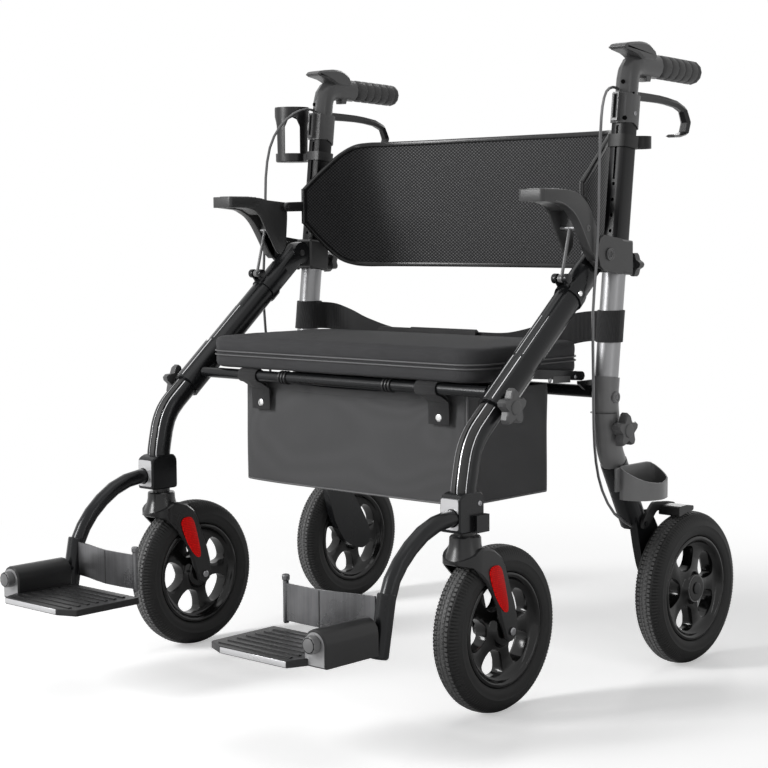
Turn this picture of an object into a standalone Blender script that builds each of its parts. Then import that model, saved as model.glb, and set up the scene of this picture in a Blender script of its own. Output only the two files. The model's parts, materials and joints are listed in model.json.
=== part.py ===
"""Heavy-duty rollator that folds and carries footrests. Metres, +Z up, the sitter faces -Y, +X is the sitter's left.

Every piece is drawn once for the left side and mirrored for the right one. Points in side view are (y, z) pairs.
"""

import math

import bmesh
import bpy
from mathutils import Matrix, Vector

# Overall frame
FRAME_X = 0.341                        # plane of both side frames
FIT = 0.0003                           # gap between neighbouring pieces
ROUND = 14                             # sides of a tube

# Wheels
WHEEL_R = 0.127
WHEEL_TOP = 2 * WHEEL_R
TYRE_INNER_R = 0.0881
RIM_R = 0.0877
HUB_HALF = 0.0215
WHEEL_SIDES = 28
FRONT_AXLE = Vector((0.0, WHEEL_R))
REAR_AXLE = Vector((0.447, WHEEL_R))
REAR_WHEEL_X = FRAME_X + 0.049
AXLE_R = 0.005
SPINDLE_R = 0.006

# Front leg and fork
STEM_Y = -0.068
STEM_R = 0.010
BLADE_INNER = 0.0275
BLADE_OUTER = 0.0335
POCKET_R = WHEEL_R + 0.0065
BLOCK_FRONT = -0.103
BLOCK_BACK = -0.047
BLOCK_BOTTOM = WHEEL_TOP + 0.030
BLOCK_TOP = BLOCK_BOTTOM + 0.0585
BLOCK_X = (FRAME_X - 0.0195, FRAME_X + 0.0195)
STEM_TOP = BLOCK_BOTTOM + 0.051
HANGER_X = FRAME_X + 0.0045
HANGER_R = 0.0125
HANGER_Z = BLOCK_BOTTOM + 0.023
HANGER_DEEP = 0.018
LEG_R = 0.019

# Front tube: a straight tube from the sleeve mouth up to the main pivot
MOUTH = Vector((-0.006, 0.456))
PIVOT = Vector((0.263, 0.683))
TUBE_ALONG = (PIVOT - MOUTH).normalized()
TUBE_UP = Vector((-TUBE_ALONG.y, TUBE_ALONG.x))
TUBE_HALF = (0.021, 0.0225)
SLEEVE_HALF = (0.0235, 0.0245)
SLEEVE_LONG = 0.090
LEG_INSIDE = 0.085
PIVOT_PIN_R = 0.006
PIVOT_ROOM_R = 0.052                   # round the pivot the pieces lie side by side as thin tongues
TONGUE_X = (FRAME_X - 0.0185, FRAME_X + 0.0027)
LINK_PIN = Vector((0.166, 0.647))
LINK_PIN_R = 0.003
LINK_TOP = Vector((0.187, 0.725))

# Rails, cross tubes and the seat
CROSSBAR = Vector((0.015, 0.480))
CROSSBAR_R = 0.009
REAR_BAR = Vector((0.283, 0.462))
RAIL_X = (FRAME_X - 0.0345, FRAME_X - 0.0295)
RAIL_PIVOT = Vector((0.089, 0.503))
RAIL_PIN_R = 0.004
RAIL_END = Vector((0.262, 0.4885))
RAIL_HALF = 0.0075
SEAT_SIDE_GAP = 0.0145
SEAT_HALF_X = FRAME_X - SLEEVE_HALF[0] - SEAT_SIDE_GAP
SEAT_Y = (0.0, 0.290)
SEAT_Z = (0.490, 0.548)
SEAT_SEAM_UP = 0.026                   # height of the seam over the underside
SEAT_CORNER = 0.045
BAG_HALF_X = FRAME_X - 0.0865
BAG_Y = (0.043, 0.260)
BAG_Z = (0.292, 0.470)
TAB_X = (0.1875, 0.2125)

# Rear post: one straight line, leaning back
POST_FOOT = Vector((0.2875, 0.490))
POST_LEAN = 0.11548
POST_R = 0.019
POST_TOP = 0.652
POST_BOTTOM = 0.460
SOCKET_R = 0.0215
BELT_Z = 0.568
BELT_HALF = 0.0255

# Rear leg
LEG_BEND = Vector((0.297, 0.366))
LEG_DOWN = Vector((0.4848, -0.8746))
LEG_SEAM = LEG_BEND + LEG_DOWN * 0.0217
LEG_END = LEG_BEND - LEG_DOWN * ((LEG_BEND.y - REAR_AXLE.y - 0.911 * WHEEL_R) / LEG_DOWN.y)
REAR_LEG_R = 0.0225
REAR_SPIGOT_R = 0.013
REAR_SPIGOT_LONG = 0.046
PLATE_X = (FRAME_X + 0.004, FRAME_X + 0.019)
BRAKE_PIN = REAR_AXLE + Vector((-0.685, 0.9055)) * WHEEL_R
BRAKE_PIN_R = 0.004
ARM_X = (FRAME_X + 0.0225, FRAME_X + 0.0280)

# Knobs
FRONT_KNOB = Vector((0.0, 0.462))
REAR_KNOB = Vector((0.291, 0.402))
KNOB_X = (FRAME_X + 0.0275, FRAME_X + 0.0415)
KNOB_STEM_R = 0.0042
KNOB_BOSS_R = 0.0105

# Arm bracket, between these sides of the frame plane
BRACKET_X = (FRAME_X - 0.0195, FRAME_X + 0.0245)
BRACKET_BACK = 0.3345
BRACKET_KNOB = Vector((FRAME_X + 0.002, 0.665))

# Backrest
BACK_PIN = Vector((0.215, 0.766))
BACK_PIN_R = 0.004
BACK_HALF_X = FRAME_X - 0.029
BACK_THICK = 0.008
BACK_BAR_X = (FRAME_X - 0.0325, FRAME_X - 0.0225)

# Handle: all its heights hang on the height of the grip
GRIP_Z = 0.9875
GRIP_R = 0.020
GRIP_LONG = 0.1130
GRIP_FALL = -0.035
HEAD_Y = POST_FOOT.x + (GRIP_Z - POST_FOOT.y) * POST_LEAN
GRIP_START = HEAD_Y + 0.0755
CORE_START = HEAD_Y + 0.040
CORE_R = 0.011
HANDLE_HALF = (0.015, 0.0185)
HANDLE_CORNER = 0.008
HANDLE_BOTTOM = 0.698
HANDLE_TOP = GRIP_Z - 0.0825
SPIGOT_R = 0.0145
SPIGOT_BOTTOM = 0.600
HANDLE_DROP = 0.045
HOLE_PITCH = 0.025
LEVER_PIN = Vector((HEAD_Y + 0.007, GRIP_Z - 0.0515))
LEVER_PIN_R = 0.003
LEVER_HALF = 0.006
HOLDER_Z = HANDLE_TOP - 0.053          # underside of the clamps of the cup holder and the cane clip
HOLDER_TALL = 0.016

# Footrest
FOOT_ROD_X = FRAME_X + 0.0005
ROD_Z = 0.172
ROD_R = 0.006
FOOT_SLEEVE = (Vector((-0.2462, 0.2195)), Vector((-0.2640, 0.130)))
FOOT_SLEEVE_X = FRAME_X + 0.0065
FOOT_SLEEVE_R = 0.0140
HOUSING_X = (FRAME_X - 0.020, FRAME_X + 0.021)
HOUSING_Y = (-0.384, -0.278)
HOUSING_Z = (0.1395, 0.192)
PLATE_Y = (-0.4137, -0.2765)
PLATE_TOP = 0.152

# Brings the middle of the whole object over the origin
CENTRE_SHIFT = (0.00925, -(PLATE_Y[0] + REAR_AXLE.x + WHEEL_R) / 2, 0.0)

COLOURS = {
    "tyre_rubber": ((0.022, 0.022, 0.023), 0.72, 0.0),
    "rim_plastic": ((0.010, 0.010, 0.011), 0.28, 0.0),
    "fork_plastic": ((0.018, 0.018, 0.019), 0.42, 0.0),
    "steel": ((0.45, 0.45, 0.46), 0.30, 1.0),
    "dark_paint": ((0.035, 0.036, 0.039), 0.26, 0.6),
    "silver_paint": ((0.33, 0.33, 0.34), 0.30, 0.8),
    "black_plastic": ((0.014, 0.014, 0.015), 0.45, 0.0),
    "arm_plastic": ((0.030, 0.030, 0.032), 0.50, 0.0),
    "grip_rubber": ((0.026, 0.026, 0.028), 0.62, 0.0),
    "mesh_fabric": ((0.020, 0.020, 0.021), 0.60, 0.0),
    "seat_fabric": ((0.065, 0.065, 0.068), 0.70, 0.0),
    "bag_fabric": ((0.095, 0.095, 0.098), 0.85, 0.0),
    "webbing": ((0.016, 0.016, 0.017), 0.75, 0.0),
    "heel_metal": ((0.30, 0.30, 0.31), 0.35, 0.9),
    "cable_sheath": ((0.060, 0.060, 0.063), 0.35, 0.0),
}


# Building blocks

def clear_scene():
    for thing in list(bpy.data.objects):
        bpy.data.objects.remove(thing)


def painted(name):
    colour, roughness, metallic = COLOURS[name]
    material = bpy.data.materials.new(name)
    material.use_nodes = True
    surface = material.node_tree.nodes["Principled BSDF"]
    surface.inputs["Base Color"].default_value = (*colour, 1.0)
    surface.inputs["Roughness"].default_value = roughness
    surface.inputs["Metallic"].default_value = metallic
    return material


def shape(points, faces):
    """A loose body whose faces point out."""
    mesh = bpy.data.meshes.new("shape")
    mesh.from_pydata([tuple(point) for point in points], [], faces)
    drawn = bmesh.new()
    drawn.from_mesh(mesh)
    bmesh.ops.recalc_face_normals(drawn, faces=drawn.faces[:])
    drawn.to_mesh(mesh)
    drawn.free()
    thing = bpy.data.objects.new("shape", mesh)
    bpy.context.scene.collection.objects.link(thing)
    return thing


def combined(first, others, operation):
    for other in others:
        step = first.modifiers.new("step", "BOOLEAN")
        step.operation = operation
        step.solver = "EXACT"
        step.object = other
    bpy.context.view_layer.update()
    seen = first.evaluated_get(bpy.context.evaluated_depsgraph_get())
    mesh = bpy.data.meshes.new_from_object(seen)
    first.modifiers.clear()
    first.data = mesh
    for other in others:
        bpy.data.objects.remove(other)
    return first


def fused(first, *others):
    return combined(first, others, "UNION")


def cut(first, *others):
    return combined(first, others, "DIFFERENCE")


def kept_inside(first, *others):
    return combined(first, others, "INTERSECT")


def eased(points, reach, steps=2, closed=True):
    """The corners of a line of points rounded, each from reach before it to reach after it."""
    points = [Vector(point) for point in points]
    count = len(points)
    line = []
    for index, corner in enumerate(points):
        if not closed and index in (0, count - 1):
            line.append(corner)
            continue
        before = points[index - 1] - corner
        after = points[(index + 1) % count] - corner
        start = corner + before.normalized() * min(reach, before.length * 0.45)
        end = corner + after.normalized() * min(reach, after.length * 0.45)
        for step in range(steps + 1):
            part = step / steps
            line.append(start * (1 - part) ** 2 + corner * 2 * part * (1 - part) + end * part ** 2)
    return line


def box_outline(low, high, reach=0.0, steps=3):
    corners = [(low[0], low[1]), (high[0], low[1]), (high[0], high[1]), (low[0], high[1])]
    return eased(corners, reach, steps) if reach else corners


def bar_outline(start, end, start_half, end_half, steps=6):
    """A bar in side view with a round end about each point."""
    start, end = Vector(start), Vector(end)
    turn = math.atan2(end.y - start.y, end.x - start.x)
    line = []
    for centre, half, first in ((start, start_half, turn + math.pi / 2), (end, end_half, turn - math.pi / 2)):
        for step in range(steps + 1):
            angle = first + math.pi * step / steps
            line.append(centre + Vector((math.cos(angle), math.sin(angle))) * half)
    return line


def prism(outline, low, high, axis="x", edge=0.0):
    """An outline carried along one axis from low to high, the rims of both ends eased by edge."""
    place = {"x": lambda a, b, t: (t, a, b), "y": lambda a, b, t: (a, t, b), "z": lambda a, b, t: (a, b, t)}[axis]
    count = len(outline)
    points = [place(a, b, t) for t in (low, high) for a, b in outline]
    faces = [list(range(count)), list(range(count, 2 * count))]
    faces += [[i, (i + 1) % count, count + (i + 1) % count, count + i] for i in range(count)]
    thing = shape(points, faces)
    if edge:
        drawn = bmesh.new()
        drawn.from_mesh(thing.data)
        rims = [line for face in drawn.faces if len(face.verts) == count for line in face.edges]
        bmesh.ops.bevel(drawn, geom=list(set(rims)), offset=edge, segments=1, profile=0.5, affect="EDGES")
        drawn.to_mesh(thing.data)
        drawn.free()
    return thing


def box(low, high, edge=0.0):
    return prism(box_outline(low[:2], high[:2], edge, 2), low[2], high[2], "z", edge)


def turned(profile, centre, direction, sides=16, closed=False):
    """Points (radius, along) turned about a line; a profile that isn't closed starts and ends at radius 0."""
    along = Vector(direction).normalized()
    across = Vector((0, 0, 1)) if abs(along.z) < 0.9 else Vector((1, 0, 0))
    across = (across - along * across.dot(along)).normalized()
    other = along.cross(across)
    points, rings = [], []
    for radius, distance in profile:
        middle = Vector(centre) + along * distance
        if radius == 0:
            rings.append([len(points)] * sides)
            points.append(middle)
            continue
        rings.append(list(range(len(points), len(points) + sides)))
        for step in range(sides):
            angle = 2 * math.pi * step / sides
            points.append(middle + (across * math.cos(angle) + other * math.sin(angle)) * radius)
    faces = []
    pairs = list(zip(rings, rings[1:] + rings[:1])) if closed else list(zip(rings, rings[1:]))
    for near, far in pairs:
        for step in range(sides):
            after = (step + 1) % sides
            face = [near[step], near[after], far[after], far[step]]
            face = [corner for place, corner in enumerate(face) if corner not in face[:place]]
            faces.append(face)
    return shape(points, faces)


def rod(centre, direction, start, end, radius, sides=16):
    return turned([(0, start), (radius, start), (radius, end), (0, end)], centre, direction, sides)


def hole(centre, direction, start, end, radius, sides=8):
    """A cutter that clears a round piece of this radius by the fit."""
    return rod(centre, direction, start, end, (radius + FIT) / math.cos(math.pi / sides), sides)


def clearing(radius, sides=12):
    wide = (radius + FIT) / math.cos(math.pi / sides)
    return ellipse(wide, wide, sides)


def ellipse(half_a, half_b, sides=ROUND):
    return [
        (half_a * math.cos(2 * math.pi * step / sides), half_b * math.sin(2 * math.pi * step / sides))
        for step in range(sides)
    ]


def swept(path, section, side=(1, 0, 0), scales=None):
    """A closed section, as pairs (along side, up), carried along a path."""
    path = [Vector(point) for point in path]
    side = Vector(side)
    points = []
    for index, here in enumerate(path):
        before = path[max(index - 1, 0)]
        after = path[min(index + 1, len(path) - 1)]
        ahead = (after - before).normalized()
        across = (side - ahead * side.dot(ahead)).normalized()
        up = ahead.cross(across)
        wide, tall = scales[index] if scales else (1, 1)
        points += [here + across * a * wide + up * b * tall for a, b in section]
    count = len(section)
    last = len(path) - 1
    faces = [list(range(count)), [last * count + i for i in range(count)]]
    for row in range(last):
        for i in range(count):
            j = (i + 1) % count
            faces.append([row * count + i, row * count + j, (row + 1) * count + j, (row + 1) * count + i])
    return shape(points, faces)


def side_path(points, x=FRAME_X):
    return [(x, y, z) for y, z in points]


def in_radii(axle, points):
    """Points given in wheel radii from an axle, so that what hugs the wheel grows with it."""
    return [axle + Vector(point) * WHEEL_R for point in points]


def arch(low, high, radius, steps=8):
    """A straight-sided outline from low to high with a round top."""
    middle = (low[0] + high[0]) / 2
    line = [(high[0], low[1])]
    for step in range(steps + 1):
        angle = math.pi * step / steps
        line.append((middle + radius * math.cos(angle), high[1] - radius + radius * math.sin(angle)))
    return line + [(low[0], low[1])]


def star(lobes, middle, reach):
    outline = []
    for step in range(lobes * 6):
        angle = 2 * math.pi * step / (lobes * 6)
        radius = middle + reach * math.cos(lobes * angle)
        outline.append((radius * math.sin(angle), radius * math.cos(angle)))
    return outline


def on_post(z):
    return Vector((POST_FOOT.x + (z - POST_FOOT.y) * POST_LEAN, z))


def on_tube(along, up=0.0):
    return MOUTH + TUBE_ALONG * along + TUBE_UP * up


class Builder:
    """Names, colours and places the finished bodies."""

    def __init__(self):
        self.materials = {name: painted(name) for name in COLOURS}
        self.root = bpy.data.objects.new("middle", None)
        self.root.location = CENTRE_SHIFT
        bpy.context.scene.collection.objects.link(self.root)

    def add(self, name, thing, slot, origin=(0, 0, 0), side=1, crease=32):
        origin = Vector(origin)
        mesh = thing.data
        mesh.transform(Matrix.Translation(-origin))
        if side < 0:
            mesh.transform(Matrix.Diagonal((-1, 1, 1, 1)))
            mesh.flip_normals()
        mesh.materials.clear()
        mesh.materials.append(self.materials[slot])
        mesh.shade_smooth()
        mesh.set_sharp_from_angle(angle=math.radians(crease))
        thing.name = name
        mesh.name = name
        thing.location = (origin.x * side, origin.y, origin.z)
        thing.parent = self.root


# Wheels

def tyre(x, axle):
    deep = WHEEL_R - TYRE_INNER_R
    half = [
        (TYRE_INNER_R + deep * part, across)
        for part, across in ((0.0, 0.0200), (0.15, 0.0238), (0.54, 0.0240), (0.86, 0.0188), (1.0, 0.0080))
    ]
    profile = [(r, -across) for r, across in half] + [(r, across) for r, across in reversed(half)]
    return turned(profile, (x, *axle), (1, 0, 0), WHEEL_SIDES, closed=True)


def rim(x, axle, bore):
    half = [
        (bore, HUB_HALF), (0.0240, HUB_HALF), (0.0280, 0.0060), (0.0755, 0.0060), (0.0830, 0.0203), (RIM_R, 0.0190),
    ]
    profile = [(r, -across) for r, across in half] + [(r, across) for r, across in reversed(half)]
    wheel = turned(profile, (x, *axle), (1, 0, 0), WHEEL_SIDES, closed=True)
    window = [(0.0335, -21), (0.0335, 21), (0.0710, 29), (0.0735, 0), (0.0710, -29)]
    cutters = []
    for number in range(5):
        turn = math.radians(36 + 72 * number)
        corners = []
        for radius, degrees in window:
            angle = turn + math.radians(degrees)
            corners.append((axle[0] + radius * math.cos(angle), axle[1] + radius * math.sin(angle)))
        cutters.append(prism(eased(corners, 0.006, 1), x - 0.03, x + 0.03))
    return cut(wheel, *cutters)


# Front caster, leg and tube

def fork():
    """Two blades under a bell that is round in front, cleared for the wheel, with the stem on top."""
    tip = [(0.126 * math.cos(a), 0.126 * math.sin(a)) for a in (math.radians(d) for d in range(180, 361, 36))]
    rear = [(0.114, 0.181), (0.067, 0.354), (-0.008, 0.543), (-0.094, 0.780), (-0.165, 0.909), (-0.305, 1.008)]
    top = [(-0.441, 1.047), (-0.535, 1.047), (-0.640, 0.980), (-0.811, 0.900)]
    front = [(-0.811, 0.878), (-0.665, 0.843), (-0.587, 0.768), (-0.469, 0.657), (-0.346, 0.496), (-0.240, 0.311),
             (-0.177, 0.114)]
    outline = in_radii(FRONT_AXLE, tip + rear + top + front)
    solid = prism(outline, FRAME_X - BLADE_OUTER, FRAME_X + BLADE_OUTER, edge=0.003)
    round_front = [
        (FRAME_X + BLADE_OUTER * math.cos(a), STEM_Y + BLADE_OUTER * math.sin(a))
        for a in (math.radians(d) for d in range(180, 361, 20))
    ]
    half_x = BLADE_OUTER + 0.001
    plan = round_front + [(FRAME_X + half_x, STEM_Y + 0.001), (FRAME_X + half_x, 0.05), (FRAME_X - half_x, 0.05),
                          (FRAME_X - half_x, STEM_Y + 0.001)]
    solid = kept_inside(solid, prism(plan, 0.05, STEM_TOP, "z"))
    bell = turned(
        [(0, BLOCK_BOTTOM - 0.052), (0.0310, BLOCK_BOTTOM - 0.0460), (0.0330, BLOCK_BOTTOM - 0.0440),
         (0.0325, BLOCK_BOTTOM - 0.0420), (0.0295, BLOCK_BOTTOM - 0.036), (0.0262, BLOCK_BOTTOM - 0.028),
         (0.0240, BLOCK_BOTTOM - 0.019), (0.0235, BLOCK_BOTTOM - 0.009), (0.0220, BLOCK_BOTTOM - 0.007),
         (0.0150, BLOCK_BOTTOM - 0.007), (0.0150, BLOCK_BOTTOM - FIT), (STEM_R, BLOCK_BOTTOM - FIT),
         (STEM_R, STEM_TOP), (0, STEM_TOP)],
        (FRAME_X, STEM_Y, 0), (0, 0, 1), 18)
    pocket = rod((FRAME_X, *FRONT_AXLE), (1, 0, 0), -BLADE_INNER, BLADE_INNER, POCKET_R, 36)
    axle_hole = hole((FRAME_X, *FRONT_AXLE), (1, 0, 0), -0.05, 0.05, AXLE_R)
    return cut(cut(fused(solid, bell), pocket), axle_hole)


def front_axle():
    head = BLADE_OUTER + FIT
    return turned(
        [(0, -head - 0.0035), (0.005, -head - 0.0035), (0.0065, -head - 0.0025), (0.0065, -head), (AXLE_R, -head),
         (AXLE_R, head), (0.0065, head), (0.0065, head + 0.0025), (0.005, head + 0.0035), (0, head + 0.0035)],
        (FRAME_X, *FRONT_AXLE), (1, 0, 0), 8)


def front_leg():
    outline = eased(
        [(BLOCK_FRONT, BLOCK_BOTTOM), (BLOCK_BACK, BLOCK_BOTTOM), (BLOCK_BACK, BLOCK_TOP - 0.0085),
         (BLOCK_BACK - 0.006, BLOCK_TOP), (-0.090, BLOCK_TOP), (BLOCK_FRONT, BLOCK_TOP - 0.0065)], 0.005, 2)
    block = prism(outline, *BLOCK_X, edge=0.002)
    latch = box((BLOCK_X[1] - 0.002, -0.073, BLOCK_BOTTOM - 0.001), (BLOCK_X[1] + 0.007, -0.044, BLOCK_BOTTOM + 0.025))
    foot = BLOCK_TOP + 0.0065
    bend = eased([(-0.0715, foot - 0.014), (-0.0715, foot), (-0.0574, 0.4126), on_tube(LEG_INSIDE)], 0.030, 3,
                 closed=False)
    tube = swept(side_path(bend), ellipse(LEG_R, LEG_R))
    stem_hole = hole((FRAME_X, STEM_Y, 0), (0, 0, 1), BLOCK_BOTTOM - 0.014, STEM_TOP + 0.002, STEM_R, 12)
    hanger_end = BLOCK_FRONT + HANGER_DEEP + FIT
    hanger_hole = hole((HANGER_X, 0, HANGER_Z), (0, 1, 0), BLOCK_FRONT - 0.027, hanger_end, HANGER_R, 12)
    return cut(fused(block, latch, tube), stem_hole, hanger_hole)


def front_tube():
    """Tube and sleeve, the ring that carries the link, the lug of the side stay and the boss of the star knob."""
    tube = swept(side_path([on_tube(0.05), PIVOT]), ellipse(*TUBE_HALF, 16))
    sleeve = swept(side_path([on_tube(0), on_tube(SLEEVE_LONG)]), ellipse(*SLEEVE_HALF, 16))
    end = rod((FRAME_X, *PIVOT), (1, 0, 0), -0.0195, 0.0150, 0.0200, 14)
    ring_at = (LINK_PIN - MOUTH).dot(TUBE_ALONG)
    ring = swept(side_path([on_tube(ring_at - 0.009), on_tube(ring_at + 0.009)]), ellipse(0.0235, 0.025, 14))
    lug_top = on_tube(0.096, -0.012)
    lug = prism(bar_outline(lug_top, RAIL_PIVOT, 0.0085, 0.0085, 3), FRAME_X - 0.0255, FRAME_X - 0.007)
    rail_pin = rod((0, *RAIL_PIVOT), (1, 0, 0), RAIL_X[0] - 0.0007, FRAME_X - 0.021, RAIL_PIN_R, 8)
    boss = rod((0, *FRONT_KNOB), (1, 0, 0), FRAME_X + 0.009, KNOB_X[0] - FIT - 0.001, KNOB_BOSS_R, 12)
    ears = [
        prism(bar_outline(on_tube(ring_at, 0.018), LINK_PIN, 0.0065, 0.0065, 3), low, low + 0.004)
        for low in (FRAME_X - 0.0098, FRAME_X + 0.0058)
    ]
    link_pin = rod((FRAME_X, *LINK_PIN), (1, 0, 0), -0.0108, 0.0108, LINK_PIN_R, 8)
    whole = fused(tube, end, sleeve, ring, lug, rail_pin, boss)
    room = [
        rod((0, *PIVOT), (1, 0, 0), low, high, PIVOT_ROOM_R, 24)
        for low, high in ((FRAME_X - 0.041, TONGUE_X[0]), (TONGUE_X[1], FRAME_X + 0.039))
    ]
    bore = swept(side_path([on_tube(-0.02), on_tube(SLEEVE_LONG)]), clearing(LEG_R, 14))
    knob_hole = hole((0, *FRONT_KNOB), (1, 0, 0), FRAME_X, FRAME_X + 0.059, KNOB_STEM_R)
    pin_hole = hole((FRAME_X, *PIVOT), (1, 0, 0), -0.05, 0.05, PIVOT_PIN_R)
    return fused(cut(whole, *room, bore, knob_hole, pin_hole), *ears, link_pin)


def star_knob(centre, stem_end):
    face = KNOB_X[1]
    path = [(x, centre.x, centre.y) for x in (KNOB_X[0], face - 0.004, face)]
    wings = swept(path, star(5, 0.0232, 0.0058), (0, 1, 0), [(1, 1), (1, 1), (0.9, 0.9)])
    neck = turned(
        [(0, stem_end), (KNOB_STEM_R, stem_end), (KNOB_STEM_R, KNOB_X[0] - 0.0008), (0.0115, KNOB_X[0] - 0.0008),
         (0.0115, face + 0.0010), (0.0095, face + 0.0020), (0, face + 0.0020)],
        (0, centre.x, centre.y), (1, 0, 0), 10)
    return fused(wings, neck)


def front_crossbar():
    end = FRAME_X - SLEEVE_HALF[0] - FIT
    ring = 0.0097
    profile = [(0, -end), (CROSSBAR_R, -end)]
    for middle in (-0.117, 0.117):
        for radius, shift in ((CROSSBAR_R, -1), (ring, -1), (ring, 1), (CROSSBAR_R, 1)):
            profile.append((radius, middle + 0.006 * shift))
    profile += [(CROSSBAR_R, end), (0, end)]
    return turned(profile, (0, *CROSSBAR), (1, 0, 0), 12)


# Rear leg, post and brackets

def socket_path():
    return eased([on_post(0.487), on_post(0.452), Vector((0.2885, 0.405)), LEG_BEND, LEG_SEAM], 0.012, 2, closed=False)


def rear_socket():
    body = swept(side_path(socket_path()), ellipse(SOCKET_R, SOCKET_R))
    boss = rod((0, *REAR_KNOB), (1, 0, 0), FRAME_X + 0.004, KNOB_X[0] - FIT - 0.001, KNOB_BOSS_R, 12)
    post_bore = swept(side_path([on_post(0.50), on_post(POST_BOTTOM - FIT)]), clearing(POST_R))
    top = LEG_SEAM - LEG_DOWN * (REAR_SPIGOT_LONG + FIT)
    leg_bore = swept(side_path([LEG_SEAM + LEG_DOWN * 0.01, top]), clearing(REAR_SPIGOT_R, 10))
    knob_hole = hole((0, *REAR_KNOB), (1, 0, 0), FRAME_X + 0.0165, FRAME_X + 0.059, KNOB_STEM_R)
    return cut(fused(body, boss), post_bore, leg_bore, knob_hole)


def rear_post():
    post = swept(side_path([on_post(POST_TOP), on_post(POST_BOTTOM)]), ellipse(POST_R, POST_R, 18))
    bore_end = on_post(SPIGOT_BOTTOM - HANDLE_DROP - 0.002)
    bore = swept(side_path([on_post(0.70), bore_end]), clearing(SPIGOT_R, 10))
    return cut(post, bore)


def rear_crossbar():
    end = FRAME_X - SOCKET_R - FIT
    bar = rod((0, *REAR_BAR), (1, 0, 0), -end, end, 0.010, 14)
    webs = [
        prism([(0.272, 0.464), (0.294, 0.464), (0.294, 0.4805), (0.254, 0.4805), (0.254, 0.4760)], low, high)
        for low, high in (RAIL_X, (-RAIL_X[1], -RAIL_X[0]))
    ]
    return fused(bar, *webs)


def rear_leg():
    start = LEG_SEAM + LEG_DOWN * FIT
    tube = swept(side_path([start, LEG_END]), ellipse(REAR_LEG_R, REAR_LEG_R))
    inside = [LEG_SEAM - LEG_DOWN * REAR_SPIGOT_LONG, LEG_SEAM + LEG_DOWN * 0.02]
    spigot = swept(side_path(inside), ellipse(REAR_SPIGOT_R, REAR_SPIGOT_R, 10))
    outline = in_radii(REAR_AXLE, [
        (-0.827, 1.063), (-0.756, 0.772), (-0.685, 0.496), (-0.598, 0.260), (-0.402, -0.016), (-0.118, -0.161),
        (0.071, -0.146), (0.157, -0.039), (0.142, 0.118), (0.0, 0.386), (-0.213, 0.685), (-0.402, 0.969),
        (-0.496, 1.079)])
    plate = prism(eased(outline, 0.010, 1), *PLATE_X)
    hub_in = REAR_WHEEL_X - HUB_HALF - FIT
    hub_out = REAR_WHEEL_X + HUB_HALF + FIT
    collar_r = SPINDLE_R + 0.004
    spindle = turned(
        [(0, FRAME_X + 0.009), (collar_r, FRAME_X + 0.009), (collar_r, hub_in), (SPINDLE_R, hub_in),
         (SPINDLE_R, hub_out), (collar_r, hub_out), (collar_r, hub_out + 0.0015), (0.008, hub_out + 0.0022),
         (0, hub_out + 0.0022)],
        (0, *REAR_AXLE), (1, 0, 0), 10)
    brake_pin = rod((0, *BRAKE_PIN), (1, 0, 0), FRAME_X + 0.011, ARM_X[1] + 0.002, BRAKE_PIN_R, 8)
    return fused(plate, tube, spigot, spindle, brake_pin)


def brake_shoe():
    """Arm from the pin up and flat over the tyre, with the pressing bar reaching in over the tread."""
    arm_line = in_radii(REAR_AXLE, [
        (-0.748, 0.835), (-0.622, 0.858), (-0.433, 1.047), (-0.118, 1.063), (-0.008, 1.051), (-0.008, 1.110),
        (-0.173, 1.142), (-0.496, 1.173), (-0.740, 0.969)])
    pad_line = in_radii(REAR_AXLE, [
        (-0.339, 0.978), (-0.150, 1.020), (-0.008, 1.030), (0.0, 1.091), (-0.173, 1.118), (-0.339, 1.110)])
    arm = prism(eased(arm_line, 0.006), *ARM_X)
    pad = prism(eased(pad_line, 0.002, 1), ARM_X[0] + 0.001, REAR_WHEEL_X + 0.015)
    return cut(fused(arm, pad), hole((0, *BRAKE_PIN), (1, 0, 0), ARM_X[0] - 0.02, ARM_X[1] + 0.02, BRAKE_PIN_R))


def handle_section(extra=0.0):
    a, b = HANDLE_HALF[0] + extra, HANDLE_HALF[1] + extra
    return [tuple(point) for point in box_outline((-a, -b), (a, b), HANDLE_CORNER, 2)]


def arm_bracket():
    """Clamp round the foot of the handle post, its flat ear with the main pin, and the knob behind it."""
    inner, outer = BRACKET_X
    block = prism(
        eased([(0.2845, 0.708), (0.2845, 0.6545), (BRACKET_BACK - 0.002, 0.6485), (BRACKET_BACK, 0.7030)], 0.004, 1),
        inner, outer, edge=0.003)
    ear = prism(
        eased([(0.2260, 0.690), (0.2380, 0.659), (0.3000, 0.6500), (0.3000, 0.7065), (0.2380, 0.7150)], 0.007, 1),
        FRAME_X + 0.0193, outer)
    pin = turned(
        [(0, inner), (PIVOT_PIN_R, inner), (PIVOT_PIN_R, outer - 0.0015), (0.0075, outer - 0.0015),
         (0.0075, outer + 0.0013), (0, outer + 0.0017)],
        (0, *PIVOT), (1, 0, 0), 10)
    x, z = BRACKET_KNOB
    neck = rod((x, 0, z), (0, 1, 0), BRACKET_BACK - 0.006, BRACKET_BACK + 0.017, 0.0085, 10)
    face = BRACKET_BACK + 0.029
    path = [(x, BRACKET_BACK + 0.014, z), (x, face - 0.003, z), (x, face, z)]
    wings = swept(path, star(5, 0.0170, 0.0030), (0, 0, 1), [(1, 1), (1, 1), (0.88, 0.88)])
    corner = prism(
        [(outer - 0.0115, 0.36), (outer - 0.0115, BRACKET_BACK + 0.0005), (outer + 0.001, BRACKET_BACK - 0.012),
         (outer + 0.01, 0.30), (outer + 0.01, 0.36)], 0.60, 0.75, "z")
    upper = swept(side_path([on_post(0.73), on_post(POST_TOP + FIT)]), handle_section(FIT))
    lower = swept(side_path([on_post(POST_TOP + 0.001), on_post(0.640)]), clearing(POST_R))
    return cut(fused(cut(block, corner), ear, pin, neck, wings), upper, lower)


# Armrest and backrest

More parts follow.
